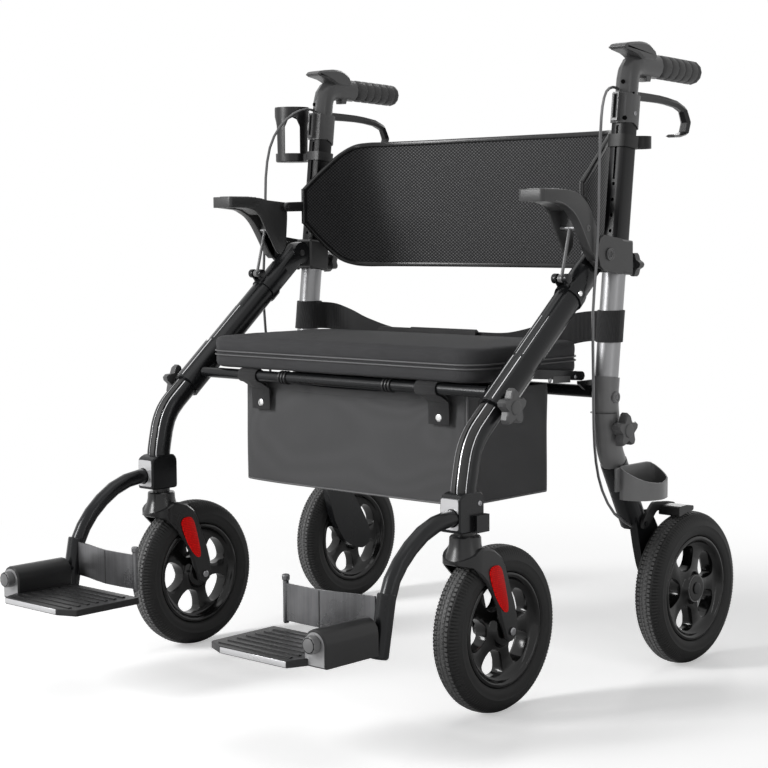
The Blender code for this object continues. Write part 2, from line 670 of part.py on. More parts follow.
def armrest():
    """Pad, leg down to the main pivot, block for the backrest and the fixed link down to the tube ring."""
    pad = prism(
        eased([(0.083, 0.7655), (0.083, 0.7830), (0.150, 0.7825), (0.178, 0.7785), (0.200, 0.7640), (0.210, 0.7500),
               (0.186, 0.7380), (0.166, 0.7480), (0.155, 0.7590), (0.135, 0.7645)], 0.006, 1),
        FRAME_X - 0.022, FRAME_X + 0.027, edge=0.004)
    leg = prism(
        eased([(0.160, 0.7680), (0.184, 0.7660), (0.2205, 0.7385), (0.2350, 0.7080), (0.2630, 0.7030),
               (0.2800, 0.6940), (0.2830, 0.6780), (0.2650, 0.6600), (0.2350, 0.6620), (0.2080, 0.6850),
               (0.1790, 0.7230), (0.1700, 0.7520)], 0.006, 1),
        FRAME_X + 0.003, FRAME_X + 0.0245, edge=0.0010)
    upright = box((FRAME_X - 0.022, 0.180, 0.738), (FRAME_X + 0.005, 0.222, 0.775))
    back_pin = rod((0, *BACK_PIN), (1, 0, 0), FRAME_X - 0.0335, FRAME_X - 0.016, BACK_PIN_R, 8)
    link_boss = rod((0, *LINK_TOP), (1, 0, 0), FRAME_X - 0.0055, FRAME_X + 0.009, 0.008, 10)
    link_foot = LINK_PIN + (LINK_TOP - LINK_PIN).normalized() * 0.004
    link_rod = swept(side_path([LINK_TOP, link_foot]), ellipse(0.0045, 0.0045, 8))
    eye = rod((FRAME_X, *LINK_PIN), (1, 0, 0), -0.0055, 0.0055, 0.0065, 10)
    whole = fused(pad, leg, upright, back_pin, link_boss, link_rod, eye)
    room = rod((0, *PIVOT), (1, 0, 0), FRAME_X + 0.019, FRAME_X + 0.049, PIVOT_ROOM_R, 24)
    pivot_hole = hole((FRAME_X, *PIVOT), (1, 0, 0), -0.011, 0.039, PIVOT_PIN_R)
    link_hole = hole((FRAME_X, *LINK_PIN), (1, 0, 0), -0.011, 0.009, LINK_PIN_R)
    return cut(whole, room, pivot_hole, link_hole)


def backrest():
    """A bowed panel with sloping corners and a bar at each end."""
    stations = [                        # (step in from the end, y, lower edge, upper edge)
        (0.0000, 0.2580, 0.7360, 0.8000), (0.0025, 0.2850, 0.7130, 0.8220), (0.0065, 0.3120, 0.6900, 0.8430),
        (0.0130, 0.3420, 0.6680, 0.8660), (0.0230, 0.3700, 0.6585, 0.8815), (0.0380, 0.3910, 0.6560, 0.8860),
        (0.0620, 0.4055, 0.6560, 0.8865), (0.1070, 0.4180, 0.6560, 0.8870), (0.1720, 0.4290, 0.6560, 0.8875),
        (0.2420, 0.4350, 0.6560, 0.8880),
    ]
    half = [(BACK_HALF_X - step, y, low, high) for step, y, low, high in stations]
    line = half + [(0.0, 0.4365, 0.6560, 0.8880)] + [(-x, y, low, high) for x, y, low, high in reversed(half)]
    rim = 0.002
    points, count = [], 0
    for index, (x, y, low, high) in enumerate(line):
        before, after = line[max(index - 1, 0)], line[min(index + 1, len(line) - 1)]
        ahead = Vector((after[0] - before[0], after[1] - before[1])).normalized()
        out = Vector((ahead.y, -ahead.x)) * BACK_THICK / 2
        section = [(-1, low + rim), (-0.5, low), (0.5, low), (1, low + rim)]
        section += [(1, high - rim), (0.5, high), (-0.5, high), (-1, high - rim)]
        count = len(section)
        points += [(x + out.x * shift, y + out.y * shift, z) for shift, z in section]
    last = len(line) - 1
    faces = [list(range(count)), [last * count + i for i in range(count)]]
    for row in range(last):
        for i in range(count):
            j = (i + 1) % count
            faces.append([row * count + i, row * count + j, (row + 1) * count + j, (row + 1) * count + i])
    panel = shape(points, faces)
    bars = []
    for low, high in (BACK_BAR_X, (-BACK_BAR_X[1], -BACK_BAR_X[0])):
        bar = prism(bar_outline(BACK_PIN, (0.262, 0.768), 0.009, 0.009, 3), low, high)
        bars.append(cut(bar, hole((0, *BACK_PIN), (1, 0, 0), low - 0.01, high + 0.01, BACK_PIN_R)))
    return fused(panel, *bars)


# Soft pieces

def cushion(half_x, y_range, levels, corner):
    """Rounded outlines stacked from the bottom; each level is (z, how far it is drawn in)."""
    middle = (y_range[0] + y_range[1]) / 2
    half_y = (y_range[1] - y_range[0]) / 2
    points, count = [], 0
    for z, inset in levels:
        a, b = half_x - inset, half_y - inset
        outline = box_outline((-a, -b), (a, b), max(corner - inset, 0.012), 5)
        count = len(outline)
        points += [(x, middle + y, z) for x, y in outline]
    faces = [list(range(count))]
    for row in range(len(levels) - 1):
        for i in range(count):
            j = (i + 1) % count
            faces.append([row * count + i, row * count + j, (row + 1) * count + j, (row + 1) * count + i])
    top = len(points)
    points.append((0, middle, levels[-1][0] + 0.0005))
    start = (len(levels) - 1) * count
    faces += [[start + i, start + (i + 1) % count, top] for i in range(count)]
    return shape(points, faces)


def seat():
    bottom, top = SEAT_Z
    seam = bottom + SEAT_SEAM_UP
    levels = [
        (bottom, 0.010), (bottom + 0.004, 0.002), (seam - 0.011, 0.0005), (seam - 0.0025, 0.003), (seam, 0.0),
        (seam + 0.0025, 0.003), (seam + 0.012, 0.0005), (top - 0.010, 0.004), (top - 0.0045, 0.014),
        (top - 0.0015, 0.040), (top, 0.095),
    ]
    return cushion(SEAT_HALF_X, SEAT_Y, levels, SEAT_CORNER)


def bag():
    low, high = BAG_Z
    levels = [(low, 0.005), (low + 0.006, 0.0), (high - 0.004, 0.0), (high, 0.004)]
    whole = cushion(BAG_HALF_X, BAG_Y, levels, 0.018)
    reach = CROSSBAR.x + CROSSBAR_R + FIT
    under = CROSSBAR.y
    tab = [(reach, under - 0.0015), (0.046, under - 0.0055), (0.052, high - 0.010), (0.056, high - 0.010),
           (0.056, under - 0.0025), (reach, under + 0.0015)]
    low_x, high_x = TAB_X
    return fused(whole, prism(tab, -high_x, -low_x), prism(tab, low_x, high_x))


def strap(path, tall, thick=0.0025):
    a, b = tall / 2, thick / 2
    return swept(path, [(-a, -b), (a, -b), (a, b), (-a, b)], (0, 0, 1))


def lap_belt():
    """A loop round each post and one strap hanging in a shallow curve behind the seat."""
    stations = [                        # (step in from the frame plane, y, height over the loop's middle)
        (0.0217, 0.2960, -0.0010), (0.0237, 0.3060, -0.0015), (0.0290, 0.3125, -0.0030), (0.0410, 0.3155, -0.0060),
        (0.0580, 0.3125, -0.0110), (0.0770, 0.3080, -0.0190), (0.1010, 0.3050, -0.0285), (0.1410, 0.3035, -0.0380),
        (0.2110, 0.3030, -0.0425), (0.2910, 0.3030, -0.0440),
    ]
    half = [(FRAME_X - step, y, BELT_Z + rise) for step, y, rise in stations]
    line = half + [(-x, y, z) for x, y, z in reversed(half)]
    inner, outer = POST_R + 0.0012, POST_R + 0.0040
    loops = []
    for side in (1, -1):
        loops.append(turned(
            [(inner, -BELT_HALF), (outer, -BELT_HALF), (outer, BELT_HALF), (inner, BELT_HALF)],
            (FRAME_X * side, on_post(BELT_Z).x, BELT_Z), (0, POST_LEAN, 1), 14, closed=True))
    return fused(strap(line, 2 * BELT_HALF - 0.002), *loops)


def buckle():
    male = box((-0.1620, 0.2906, 0.503), (-0.083, 0.2990, 0.5515), 0.002)
    female = box((-0.086, 0.2906, 0.501), (0.066, 0.3010, 0.5530), 0.003)
    return fused(male, female)


# Side stay, footrest and small fittings

def seat_rail():
    bar = prism(bar_outline(RAIL_PIVOT, RAIL_END, RAIL_HALF, RAIL_HALF, 4), *RAIL_X)
    return cut(bar, hole((0, *RAIL_PIVOT), (1, 0, 0), RAIL_X[0] - 0.01, RAIL_X[1] + 0.01, RAIL_PIN_R))


def footrest_hanger():
    """Tube in one sweep down to the sleeve, and the rod that the footplate turns on."""
    knots = [(BLOCK_FRONT + HANGER_DEEP, HANGER_Z), (-0.1125, HANGER_Z), (-0.1400, HANGER_Z - 0.0040),
             (-0.1685, HANGER_Z - 0.0145), (-0.1940, 0.2765), (-0.2165, 0.2570), (-0.2335, 0.2360)]
    top, bottom = FOOT_SLEEVE
    line = [(HANGER_X, *knot) for knot in knots] + [(FOOT_SLEEVE_X, top.x, top.y - 0.01)]
    tube = swept(line, ellipse(HANGER_R, HANGER_R, 12))
    down = bottom - top
    long = down.length
    r = FOOT_SLEEVE_R
    sleeve = turned(
        [(0, 0), (r - 0.0010, 0), (r, 0.0015), (r, long - 0.003), (r - 0.002, long), (0, long)],
        (FOOT_SLEEVE_X, *top), (0, *down), 14)
    start = -top.x + (top.y - ROD_Z) * -down.x / -down.y
    front = -HOUSING_Y[0] + FIT
    knob = ROD_R + 0.0065
    pivot_rod = turned(
        [(0, start), (ROD_R, start), (ROD_R, front), (knob, front), (knob, front + 0.010),
         (knob - 0.0015, front + 0.0125), (0, front + 0.0125)],
        (FOOT_ROD_X, 0, ROD_Z), (0, -1, 0), 10)
    return fused(tube, sleeve, pivot_rod)


def footplate():
    low, high = HOUSING_Z
    half = (HOUSING_X[1] - HOUSING_X[0]) / 2
    housing = prism(arch((HOUSING_X[0], low), (HOUSING_X[1], high), half, 7), *HOUSING_Y, axis="y", edge=0.002)
    front, back = PLATE_Y
    inner = FRAME_X - 0.1895
    outline = eased(
        [(HOUSING_X[0] + 0.009, HOUSING_Y[0] + 0.002), (HOUSING_X[0] - 0.004, front), (inner + 0.033, front),
         (inner + 0.0005, front + 0.014), (inner, back), (HOUSING_X[0] + 0.009, back)], 0.002, 1)
    plate = prism(outline, low + 0.0005, PLATE_TOP - 0.0015, "z", 0.0010)
    ribs = []
    for number in range(7):
        y = front + 0.012 + 0.0175 * number
        ribs.append(box((inner + 0.018, y, PLATE_TOP - 0.006), (HOUSING_X[0] - 0.010, y + 0.006, PLATE_TOP)))
    rod_hole = hole((FOOT_ROD_X, 0, ROD_Z), (0, 1, 0), HOUSING_Y[0] - 0.02, HOUSING_Y[1] + 0.02, ROD_R, 12)
    return cut(fused(housing, plate, *ribs), rod_hole)


def heel_loop():
    """A metal plate behind the heel, from the sleeve to a post at its free end."""
    middle, half_tall, half_thick = 0.1875, 0.0275, 0.0015
    start = FOOT_SLEEVE_X - FOOT_SLEEVE_R - 2 * FIT
    post_x = FRAME_X - 0.171
    line = [(start, -0.2535, middle), (start - 0.030, -0.2577, middle), (start - 0.061, -0.2655, middle),
            (start - 0.092, -0.2715, middle), (start - 0.128, -0.2715, middle), (post_x, -0.2695, middle)]
    flat = [(-half_tall, -half_thick), (half_tall, -half_thick), (half_tall, half_thick), (-half_tall, half_thick)]
    plate = swept(line, flat, (0, 0, 1))
    post = turned(
        [(0, 0.156), (0.0035, 0.156), (0.0045, 0.158), (0.0045, 0.219), (0.0058, 0.220), (0.0060, 0.226),
         (0.0045, 0.228), (0, 0.228)],
        (post_x, -0.2690, 0), (0, 0, 1), 10)
    return fused(plate, post)


def handle_post():
    upper = swept(side_path([on_post(HANDLE_BOTTOM), on_post(HANDLE_TOP)]), handle_section())
    inside = [on_post(HANDLE_BOTTOM + 0.01), on_post(SPIGOT_BOTTOM)]
    spigot = swept(side_path(inside), ellipse(SPIGOT_R, SPIGOT_R, 10))
    ahead = Vector((0, -1, POST_LEAN)).normalized()

    def on_front(z):
        return Vector((FRAME_X, *on_post(z))) + ahead * HANDLE_HALF[1]

    slot = swept([on_front(HANDLE_TOP - 0.105), on_front(HANDLE_TOP - 0.019)],
                 [(-0.0025, -0.003), (0.0025, -0.003), (0.0025, 0.003), (-0.0025, 0.003)])
    holes = [
        rod(on_front(HANDLE_BOTTOM + 0.020 + HOLE_PITCH * number), ahead, -0.004, 0.003, 0.0030, 8)
        for number in range(4)
    ]
    return cut(fused(upper, spigot), slot, *holes)


def handle_head():
    """Casting on the post: upright cut off slanting below, elbow to the grip, and a thin lip over the front."""
    half = (0.017, 0.0225)
    section = [tuple(point) for point in box_outline((-half[0], -half[1]), half, 0.012, 2)]
    upright = swept(side_path([on_post(HANDLE_TOP - 0.030), on_post(GRIP_Z - 0.050)]), section)
    corner = Vector((HEAD_Y, GRIP_Z - 0.0005))
    turn = [on_post(GRIP_Z - 0.060), corner, Vector((GRIP_START - 0.0012, GRIP_Z - 0.0012))]
    turn = eased(turn, 0.036, 4, closed=False)
    elbow = swept(side_path(turn), ellipse(0.0175, 0.0200, 12))
    lip_line = eased(
        [(-0.0330, 0.0215), (-0.0330, 0.0275), (-0.0190, 0.0315), (0.0125, 0.0347), (0.0330, 0.0330), (0.0450, 0.0271),
         (0.0560, 0.0200), (0.0560, 0.0050), (0.0200, 0.0050), (0.0, 0.0155)], 0.005, 1)
    lip = prism([(HEAD_Y + a, GRIP_Z + b) for a, b in lip_line], FRAME_X - 0.0185, FRAME_X + 0.0185, edge=0.0035)
    boss_line = [(0.0385, -0.012), (0.0395, -0.0270), (0.0500, -0.0270), (0.0550, -0.012)]
    boss = prism([(HEAD_Y + a, GRIP_Z + b) for a, b in boss_line], FRAME_X - 0.008, FRAME_X + 0.008)
    core_long = GRIP_START - CORE_START + GRIP_LONG - 0.010
    core = rod((FRAME_X, CORE_START, GRIP_Z), (0, 1, GRIP_FALL), 0, core_long, CORE_R, 12)
    ahead = Vector((0, -1, POST_LEAN)).normalized()
    rib_line = [Vector((FRAME_X, *on_post(z))) + ahead * 0.0255 for z in (HANDLE_TOP - 0.013, HANDLE_TOP + 0.032)]
    rib = swept(rib_line, [(-0.0055, -0.0045), (0.0055, -0.0045), (0.0055, 0.0045), (-0.0055, 0.0045)])
    bore = swept(side_path([on_post(HANDLE_TOP - 0.045), on_post(HANDLE_TOP + FIT)]), handle_section(FIT))
    pin = LEVER_PIN
    slot = box((FRAME_X - LEVER_HALF - 0.0005, pin.x - 0.016, pin.y - 0.0175),
               (FRAME_X + LEVER_HALF + 0.0005, pin.x + 0.048, pin.y + 0.0175))
    slant = prism([(HEAD_Y - 0.06, HANDLE_TOP - 0.06), (HEAD_Y - 0.06, HANDLE_TOP - 0.013),
                   (HEAD_Y - 0.010, HANDLE_TOP - 0.013), (HEAD_Y + 0.017, HANDLE_TOP - 0.0290),
                   (HEAD_Y + 0.06, HANDLE_TOP - 0.0290), (HEAD_Y + 0.06, HANDLE_TOP - 0.06)],
                  FRAME_X - 0.03, FRAME_X + 0.03)
    lever_pin = rod((FRAME_X, *pin), (1, 0, 0), -0.015, 0.015, LEVER_PIN_R, 8)
    return fused(cut(fused(upright, elbow, lip, boss, core, rib), bore, slot, slant), lever_pin)


def grip():
    bore = CORE_R + 2 * FIT
    core_end = GRIP_LONG - 0.010
    profile = [(0, core_end + 0.001), (bore, core_end + 0.001), (bore, 0), (0.0170, 0), (0.0190, 0.0025)]
    ridges = 5
    for number in range(ridges):
        low = 0.008 + 0.0195 * number
        profile += [(GRIP_R, low), (GRIP_R, low + 0.0125), (GRIP_R - 0.0014, low + 0.0160)]
    profile += [(GRIP_R, GRIP_LONG - 0.006), (0.0185, GRIP_LONG - 0.0015), (0.0160, GRIP_LONG), (0, GRIP_LONG)]
    return turned(profile, (FRAME_X, GRIP_START, GRIP_Z - 0.0007), (0, 1, GRIP_FALL), 12)


def brake_lever():
    """Blade from the slot in the head, hooked round at its end and wider there."""
    y, z = LEVER_PIN
    line = eased(
        [(y - 0.006, z), (y + 0.033, z - 0.0002), (y + 0.088, z - 0.0020), (y + 0.140, z - 0.0090),
         (y + 0.1605, z - 0.0230), (y + 0.1605, z - 0.0500), (y + 0.148, z - 0.0580), (y + 0.116, z - 0.0600)],
        0.012, 1, closed=False)
    sizes = []
    for index in range(len(line)):
        part = index / (len(line) - 1)
        wide = 1.0 if part < 0.3 else min(1.0 + (part - 0.3) * 2.4, 1.7)
        tall = 1.35 - 0.80 * part if part < 0.7 else 0.75 - (part - 0.7) * 0.9
        sizes.append((wide, tall))
    lever = swept(side_path(line), ellipse(LEVER_HALF, 0.0062, 6), scales=sizes)
    boss = rod((FRAME_X, y, z), (1, 0, 0), -LEVER_HALF, LEVER_HALF, 0.0095, 10)
    return cut(fused(lever, boss), hole((FRAME_X, y, z), (1, 0, 0), -0.02, 0.02, LEVER_PIN_R))


def brake_cable(name, side, builder):
    """Sheath from the head down the side frame to the brake plate."""
    top = GRIP_Z - 0.0425
    end = in_radii(REAR_AXLE, [(-1.197, 1.087), (-0.817, 0.878)])
    knots = [                           # (step out from the frame plane, y, z)
        (0.0000, HEAD_Y - 0.0285, top), (0.0015, HEAD_Y - 0.0470, top + 0.0020), (0.0080, HEAD_Y - 0.0730, top - 0.0070),
        (0.0190, HEAD_Y - 0.0990, top - 0.0320), (0.0280, HEAD_Y - 0.1160, top - 0.0700), (0.0315, 0.2210, 0.8200),
        (0.0315, 0.2190, 0.7500), (0.0315, 0.2140, 0.6700), (0.0290, 0.2090, 0.5950), (0.0250, 0.2160, 0.4900),
        (0.0190, 0.2260, 0.4120), (0.0135, 0.2400, 0.3550), (0.0115, 0.2600, 0.3070), (0.0110, *end[0]),
        (0.0115, *end[1]),
    ]
    knots = [Vector((FRAME_X + out, y, z)) for out, y, z in knots]
    curve = bpy.data.curves.new(name, "CURVE")
    curve.dimensions = "3D"
    curve.bevel_depth = 0.0024
    curve.bevel_resolution = 1
    curve.use_fill_caps = True
    curve.resolution_u = 1
    line = []
    for index in range(len(knots) - 1):
        before, start, stop, after = (knots[min(max(index + step, 0), len(knots) - 1)] for step in (-1, 0, 1, 2))
        line += [start, (9 * (start + stop) - before - after) / 16]
    line.append(knots[-1])
    spline = curve.splines.new("POLY")
    spline.points.add(len(line) - 1)
    for point, place in zip(spline.points, line):
        point.co = (place.x * side, place.y, place.z, 1.0)
    curve.materials.append(builder.materials["cable_sheath"])
    thing = bpy.data.objects.new(name, curve)
    bpy.context.scene.collection.objects.link(thing)
    thing.parent = builder.root


def cup_holder():
    """Basket with arched windows and a clamp round the post, drawn on the left and mirrored."""
    x, y = FRAME_X + 0.063, HEAD_Y - 0.023
    low, high = HOLDER_Z, HOLDER_Z + 0.102
    wall = turned(
        [(0, low), (0.0300, low), (0.0315, low + 0.002), (0.0330, high - 0.004), (0.0325, high), (0.0300, high),
         (0.0300, high - 0.01), (0.0285, low + 0.003), (0, low + 0.003)],
        (x, y, 0), (0, 0, 1), 18)
    outline = [(-0.014, 0.016), (0.014, 0.016), (0.014, 0.068), (0.008, 0.082), (0, 0.086), (-0.008, 0.082),
               (-0.014, 0.068)]
    count = len(outline)
    faces = [list(range(count)), list(range(count, 2 * count))]
    faces += [[i, (i + 1) % count, count + (i + 1) % count, count + i] for i in range(count)]
    windows = []
    for number in range(4):
        turn = math.radians(45 + 90 * number)
        across = Vector((-math.sin(turn), math.cos(turn), 0))
        out = Vector((math.cos(turn), math.sin(turn), 0))
        middle = Vector((x, y, low))
        points = [middle + across * a + out * t + Vector((0, 0, b)) for t in (0.020, 0.045) for a, b in outline]
        windows.append(shape(points, faces))
    arm = box((FRAME_X + 0.016, y - 0.004, low + 0.001), (x - 0.0285, y + 0.016, low + HOLDER_TALL - 0.001))
    return cut(fused(cut(wall, *windows), arm, clamp(HOLDER_TALL)), post_hole())


def clamp(tall):
    """Ring round the handle post, standing on the height of the holders."""
    section = [tuple(point) for point in box_outline((-0.0185, -0.0220), (0.0185, 0.0220), 0.010, 2)]
    return swept(side_path([on_post(HOLDER_Z), on_post(HOLDER_Z + tall)]), section)


def post_hole():
    return swept(side_path([on_post(HOLDER_Z - 0.02), on_post(HOLDER_Z + 0.04)]), handle_section(FIT))


def cane_clip():
    """Ring round the post and an open loop behind it for a cane."""
    tall = HOLDER_TALL + 0.004
    middle = on_post(HOLDER_Z + tall / 2)
    centre = (FRAME_X, middle.x + 0.0425, HOLDER_Z)
    outside = rod(centre, (0, 0, 1), 0, tall, 0.0215, 16)
    inside = rod(centre, (0, 0, 1), -0.01, tall + 0.01, 0.0185, 16)
    return cut(fused(clamp(tall), outside), post_hole(), inside)


def cane_cup():
    """Open-topped D-shaped cup on the outer side of the left rear leg."""
    x = FRAME_X + REAR_LEG_R + 0.0005
    floor, lip = 0.290, 0.360
    outer = [(0, 0.286), (0.022, 0.286), (0.045, 0.298), (0.056, 0.332), (0.045, 0.366), (0.022, 0.378), (0, 0.378)]
    inner = [(0.0025, 0.2885), (0.0215, 0.2885), (0.043, 0.300), (0.0535, 0.332), (0.043, 0.364), (0.0215, 0.3755),
             (0.0025, 0.3755)]
    cup = prism(eased([(x + a, b) for a, b in outer], 0.010, 2), floor, lip, "z")
    room = prism(eased([(x + a, b) for a, b in inner], 0.009, 2), floor + 0.0025, lip + 0.04, "z")
    slope = prism([(x - 0.01, 0.3490), (x + 0.07, 0.3080), (x + 0.07, 0.40), (x - 0.01, 0.40)], 0.25, 0.42, "y")
    tab = box((x, 0.277, 0.303), (x + 0.004, 0.292, 0.342), 0.001)
    return cut(fused(cut(cup, slope), tab), room)


def build():
    clear_scene()
    builder = Builder()
    front = (FRAME_X, *FRONT_AXLE)
    rear = (REAR_WHEEL_X, *REAR_AXLE)
    for side, word in ((1, "left"), (-1, "right")):
        def add(name, thing, slot, origin=(0, 0, 0), crease=32):
            builder.add(f"{name}_{word}", thing, slot, origin, side, crease)
        add("tyre_front", tyre(FRAME_X, FRONT_AXLE), "tyre_rubber", front)
        add("rim_front", rim(FRAME_X, FRONT_AXLE, AXLE_R + FIT), "rim_plastic", front)
        add("tyre_rear", tyre(REAR_WHEEL_X, REAR_AXLE), "tyre_rubber", rear)
        add("rim_rear", rim(REAR_WHEEL_X, REAR_AXLE, SPINDLE_R + FIT), "rim_plastic", rear)
        add("fork", fork(), "fork_plastic", (FRAME_X, STEM_Y, BLOCK_BOTTOM))
        add("front_axle", front_axle(), "steel", front)
        add("front_leg", front_leg(), "dark_paint", (FRAME_X, *MOUTH))
        add("front_tube", front_tube(), "dark_paint", (FRAME_X, *PIVOT))
        add("star_knob_front", star_knob(FRONT_KNOB, FRAME_X + LEG_R + FIT), "black_plastic", (KNOB_X[0], *FRONT_KNOB))
        add("star_knob_rear", star_knob(REAR_KNOB, FRAME_X + 0.0168), "black_plastic", (KNOB_X[0], *REAR_KNOB))
        add("rear_socket", rear_socket(), "black_plastic", (FRAME_X, *LEG_BEND))
        add("rear_post", rear_post(), "silver_paint", (FRAME_X, *POST_FOOT))
        add("rear_leg", rear_leg(), "dark_paint", (FRAME_X, *LEG_SEAM))
        add("brake_shoe", brake_shoe(), "black_plastic", (ARM_X[0], *BRAKE_PIN))
        add("arm_bracket", arm_bracket(), "black_plastic", (FRAME_X, *PIVOT))
        add("armrest", armrest(), "arm_plastic", (FRAME_X, *PIVOT))
        add("seat_rail", seat_rail(), "dark_paint", (RAIL_X[0], *RAIL_PIVOT))
        add("handle_post", handle_post(), "dark_paint", (FRAME_X, *on_post(HANDLE_BOTTOM)))
        add("handle_head", handle_head(), "dark_paint", (FRAME_X, *on_post(HANDLE_TOP)))
        add("grip", grip(), "grip_rubber", (FRAME_X, GRIP_START, GRIP_Z))
        add("brake_lever", brake_lever(), "black_plastic", (FRAME_X, *LEVER_PIN))
        add("footrest_hanger", footrest_hanger(), "dark_paint", (HANGER_X, BLOCK_FRONT, HANGER_Z))
        add("footplate", footplate(), "black_plastic", (FOOT_ROD_X, HOUSING_Y[0], ROD_Z))
        add("heel_loop", heel_loop(), "heel_metal", (FOOT_SLEEVE_X, FOOT_SLEEVE[0].x, ROD_Z))
        brake_cable(f"brake_cable_{word}", side, builder)
    builder.add("front_crossbar", front_crossbar(), "dark_paint", (0, *CROSSBAR))
    builder.add("rear_crossbar", rear_crossbar(), "dark_paint", (0, *REAR_BAR))
    builder.add("backrest", backrest(), "mesh_fabric", (0, *BACK_PIN))
    builder.add("seat", seat(), "seat_fabric", (0, *CROSSBAR), crease=60)
    builder.add("bag", bag(), "bag_fabric", (0, BAG_Y[0], BAG_Z[0]))
    builder.add("lap_belt", lap_belt(), "webbing")
    builder.add("buckle", buckle(), "black_plastic")
    builder.add("cup_holder", cup_holder(), "black_plastic", side=-1)
    builder.add("cane_cup", cane_cup(), "black_plastic")
    builder.add("cane_clip", cane_clip(), "black_plastic")


build()
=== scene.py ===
import json
import math

import bmesh
import bpy
from mathutils import Matrix, Vector, noise
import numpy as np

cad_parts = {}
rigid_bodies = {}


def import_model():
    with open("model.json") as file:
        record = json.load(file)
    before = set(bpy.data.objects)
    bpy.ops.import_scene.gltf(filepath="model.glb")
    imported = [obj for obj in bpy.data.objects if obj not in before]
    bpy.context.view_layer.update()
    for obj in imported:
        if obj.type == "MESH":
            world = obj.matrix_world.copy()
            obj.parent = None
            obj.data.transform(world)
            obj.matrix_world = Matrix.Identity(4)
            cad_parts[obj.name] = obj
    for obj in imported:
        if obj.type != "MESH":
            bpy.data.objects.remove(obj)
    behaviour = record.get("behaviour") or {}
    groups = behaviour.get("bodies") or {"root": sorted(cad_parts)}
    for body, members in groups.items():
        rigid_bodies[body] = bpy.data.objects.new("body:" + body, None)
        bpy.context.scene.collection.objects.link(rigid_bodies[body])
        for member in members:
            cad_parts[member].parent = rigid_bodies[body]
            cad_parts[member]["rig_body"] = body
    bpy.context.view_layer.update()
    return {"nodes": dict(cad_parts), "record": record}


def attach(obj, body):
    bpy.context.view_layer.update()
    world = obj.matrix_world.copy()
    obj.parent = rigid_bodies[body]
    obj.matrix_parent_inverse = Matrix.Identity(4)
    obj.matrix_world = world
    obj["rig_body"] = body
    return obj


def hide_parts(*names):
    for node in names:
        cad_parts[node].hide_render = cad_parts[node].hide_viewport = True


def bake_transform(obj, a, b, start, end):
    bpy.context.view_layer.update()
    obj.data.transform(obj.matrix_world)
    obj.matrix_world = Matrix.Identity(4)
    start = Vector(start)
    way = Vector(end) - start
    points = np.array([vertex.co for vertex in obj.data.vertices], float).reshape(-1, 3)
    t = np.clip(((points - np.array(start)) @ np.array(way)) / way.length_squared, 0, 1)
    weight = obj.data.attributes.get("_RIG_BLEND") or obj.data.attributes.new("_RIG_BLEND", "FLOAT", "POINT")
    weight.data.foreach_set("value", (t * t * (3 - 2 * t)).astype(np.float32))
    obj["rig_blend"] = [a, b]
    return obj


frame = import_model()

# Sizes in metres, in the same side-view figures as the solids: (y, z) pairs, moved by SHIFT at the end
SHIFT = Vector((0.00925, -0.08015, 0.0))
FRAME_X = 0.341
WHEEL_R = 0.127
FRONT_AXLE = (0.0, WHEEL_R)
REAR_AXLE = (0.447, WHEEL_R)
REAR_WHEEL_X = 0.39
MOUTH = Vector((-0.006, 0.456))
ALONG = (Vector((0.263, 0.683)) - MOUTH).normalized()
POST_FOOT = Vector((0.2875, 0.49))
POST_LEAN = 0.11548
CROSSBAR = (0.015, 0.48)
LINK_FOOT = (0.166, 0.647)
FOOT_KNOB = (0.0005, -0.384, 0.172)
SIDES = {1: "left", -1: "right"}


def on_post(z):
    return Vector((POST_FOOT.x + (z - POST_FOOT.y) * POST_LEAN, z))


def on_tube(along):
    return MOUTH + ALONG * along


def beside(out, y, z):
    """A point this far outside the middle plane of a side frame."""
    return FRAME_X + out, y, z


# Materials

class Nodes:
    """Short ways to add nodes to one tree and to join them."""

    def __init__(self, tree):
        self.tree = tree

    def node(self, kind, **settings):
        made = self.tree.nodes.new("ShaderNode" + kind)
        for key, value in settings.items():
            if key in made.bl_rna.properties:
                setattr(made, key, value)
            else:
                made.inputs[key].default_value = value
        return made

    def link(self, source, target):
        self.tree.links.new(source, target)

    def fed(self, kind, *values, **settings):
        """The first output of a new node that has these numbers or links on its first sockets."""
        made = self.node(kind, **settings)
        for socket, value in zip(made.inputs, values):
            if isinstance(value, (int, float)):
                socket.default_value = value
            else:
                self.link(value, socket)
        return made.outputs[0]

    def math(self, operation, *values):
        return self.fed("Math", *values, operation=operation)

    def band(self, source, low, high, to_low, to_high, **settings):
        return self.fed("MapRange", source, low, high, to_low, to_high, **settings)

    def axes(self, source):
        parts = self.node("SeparateXYZ")
        self.link(source, parts.inputs[0])
        return list(parts.outputs)


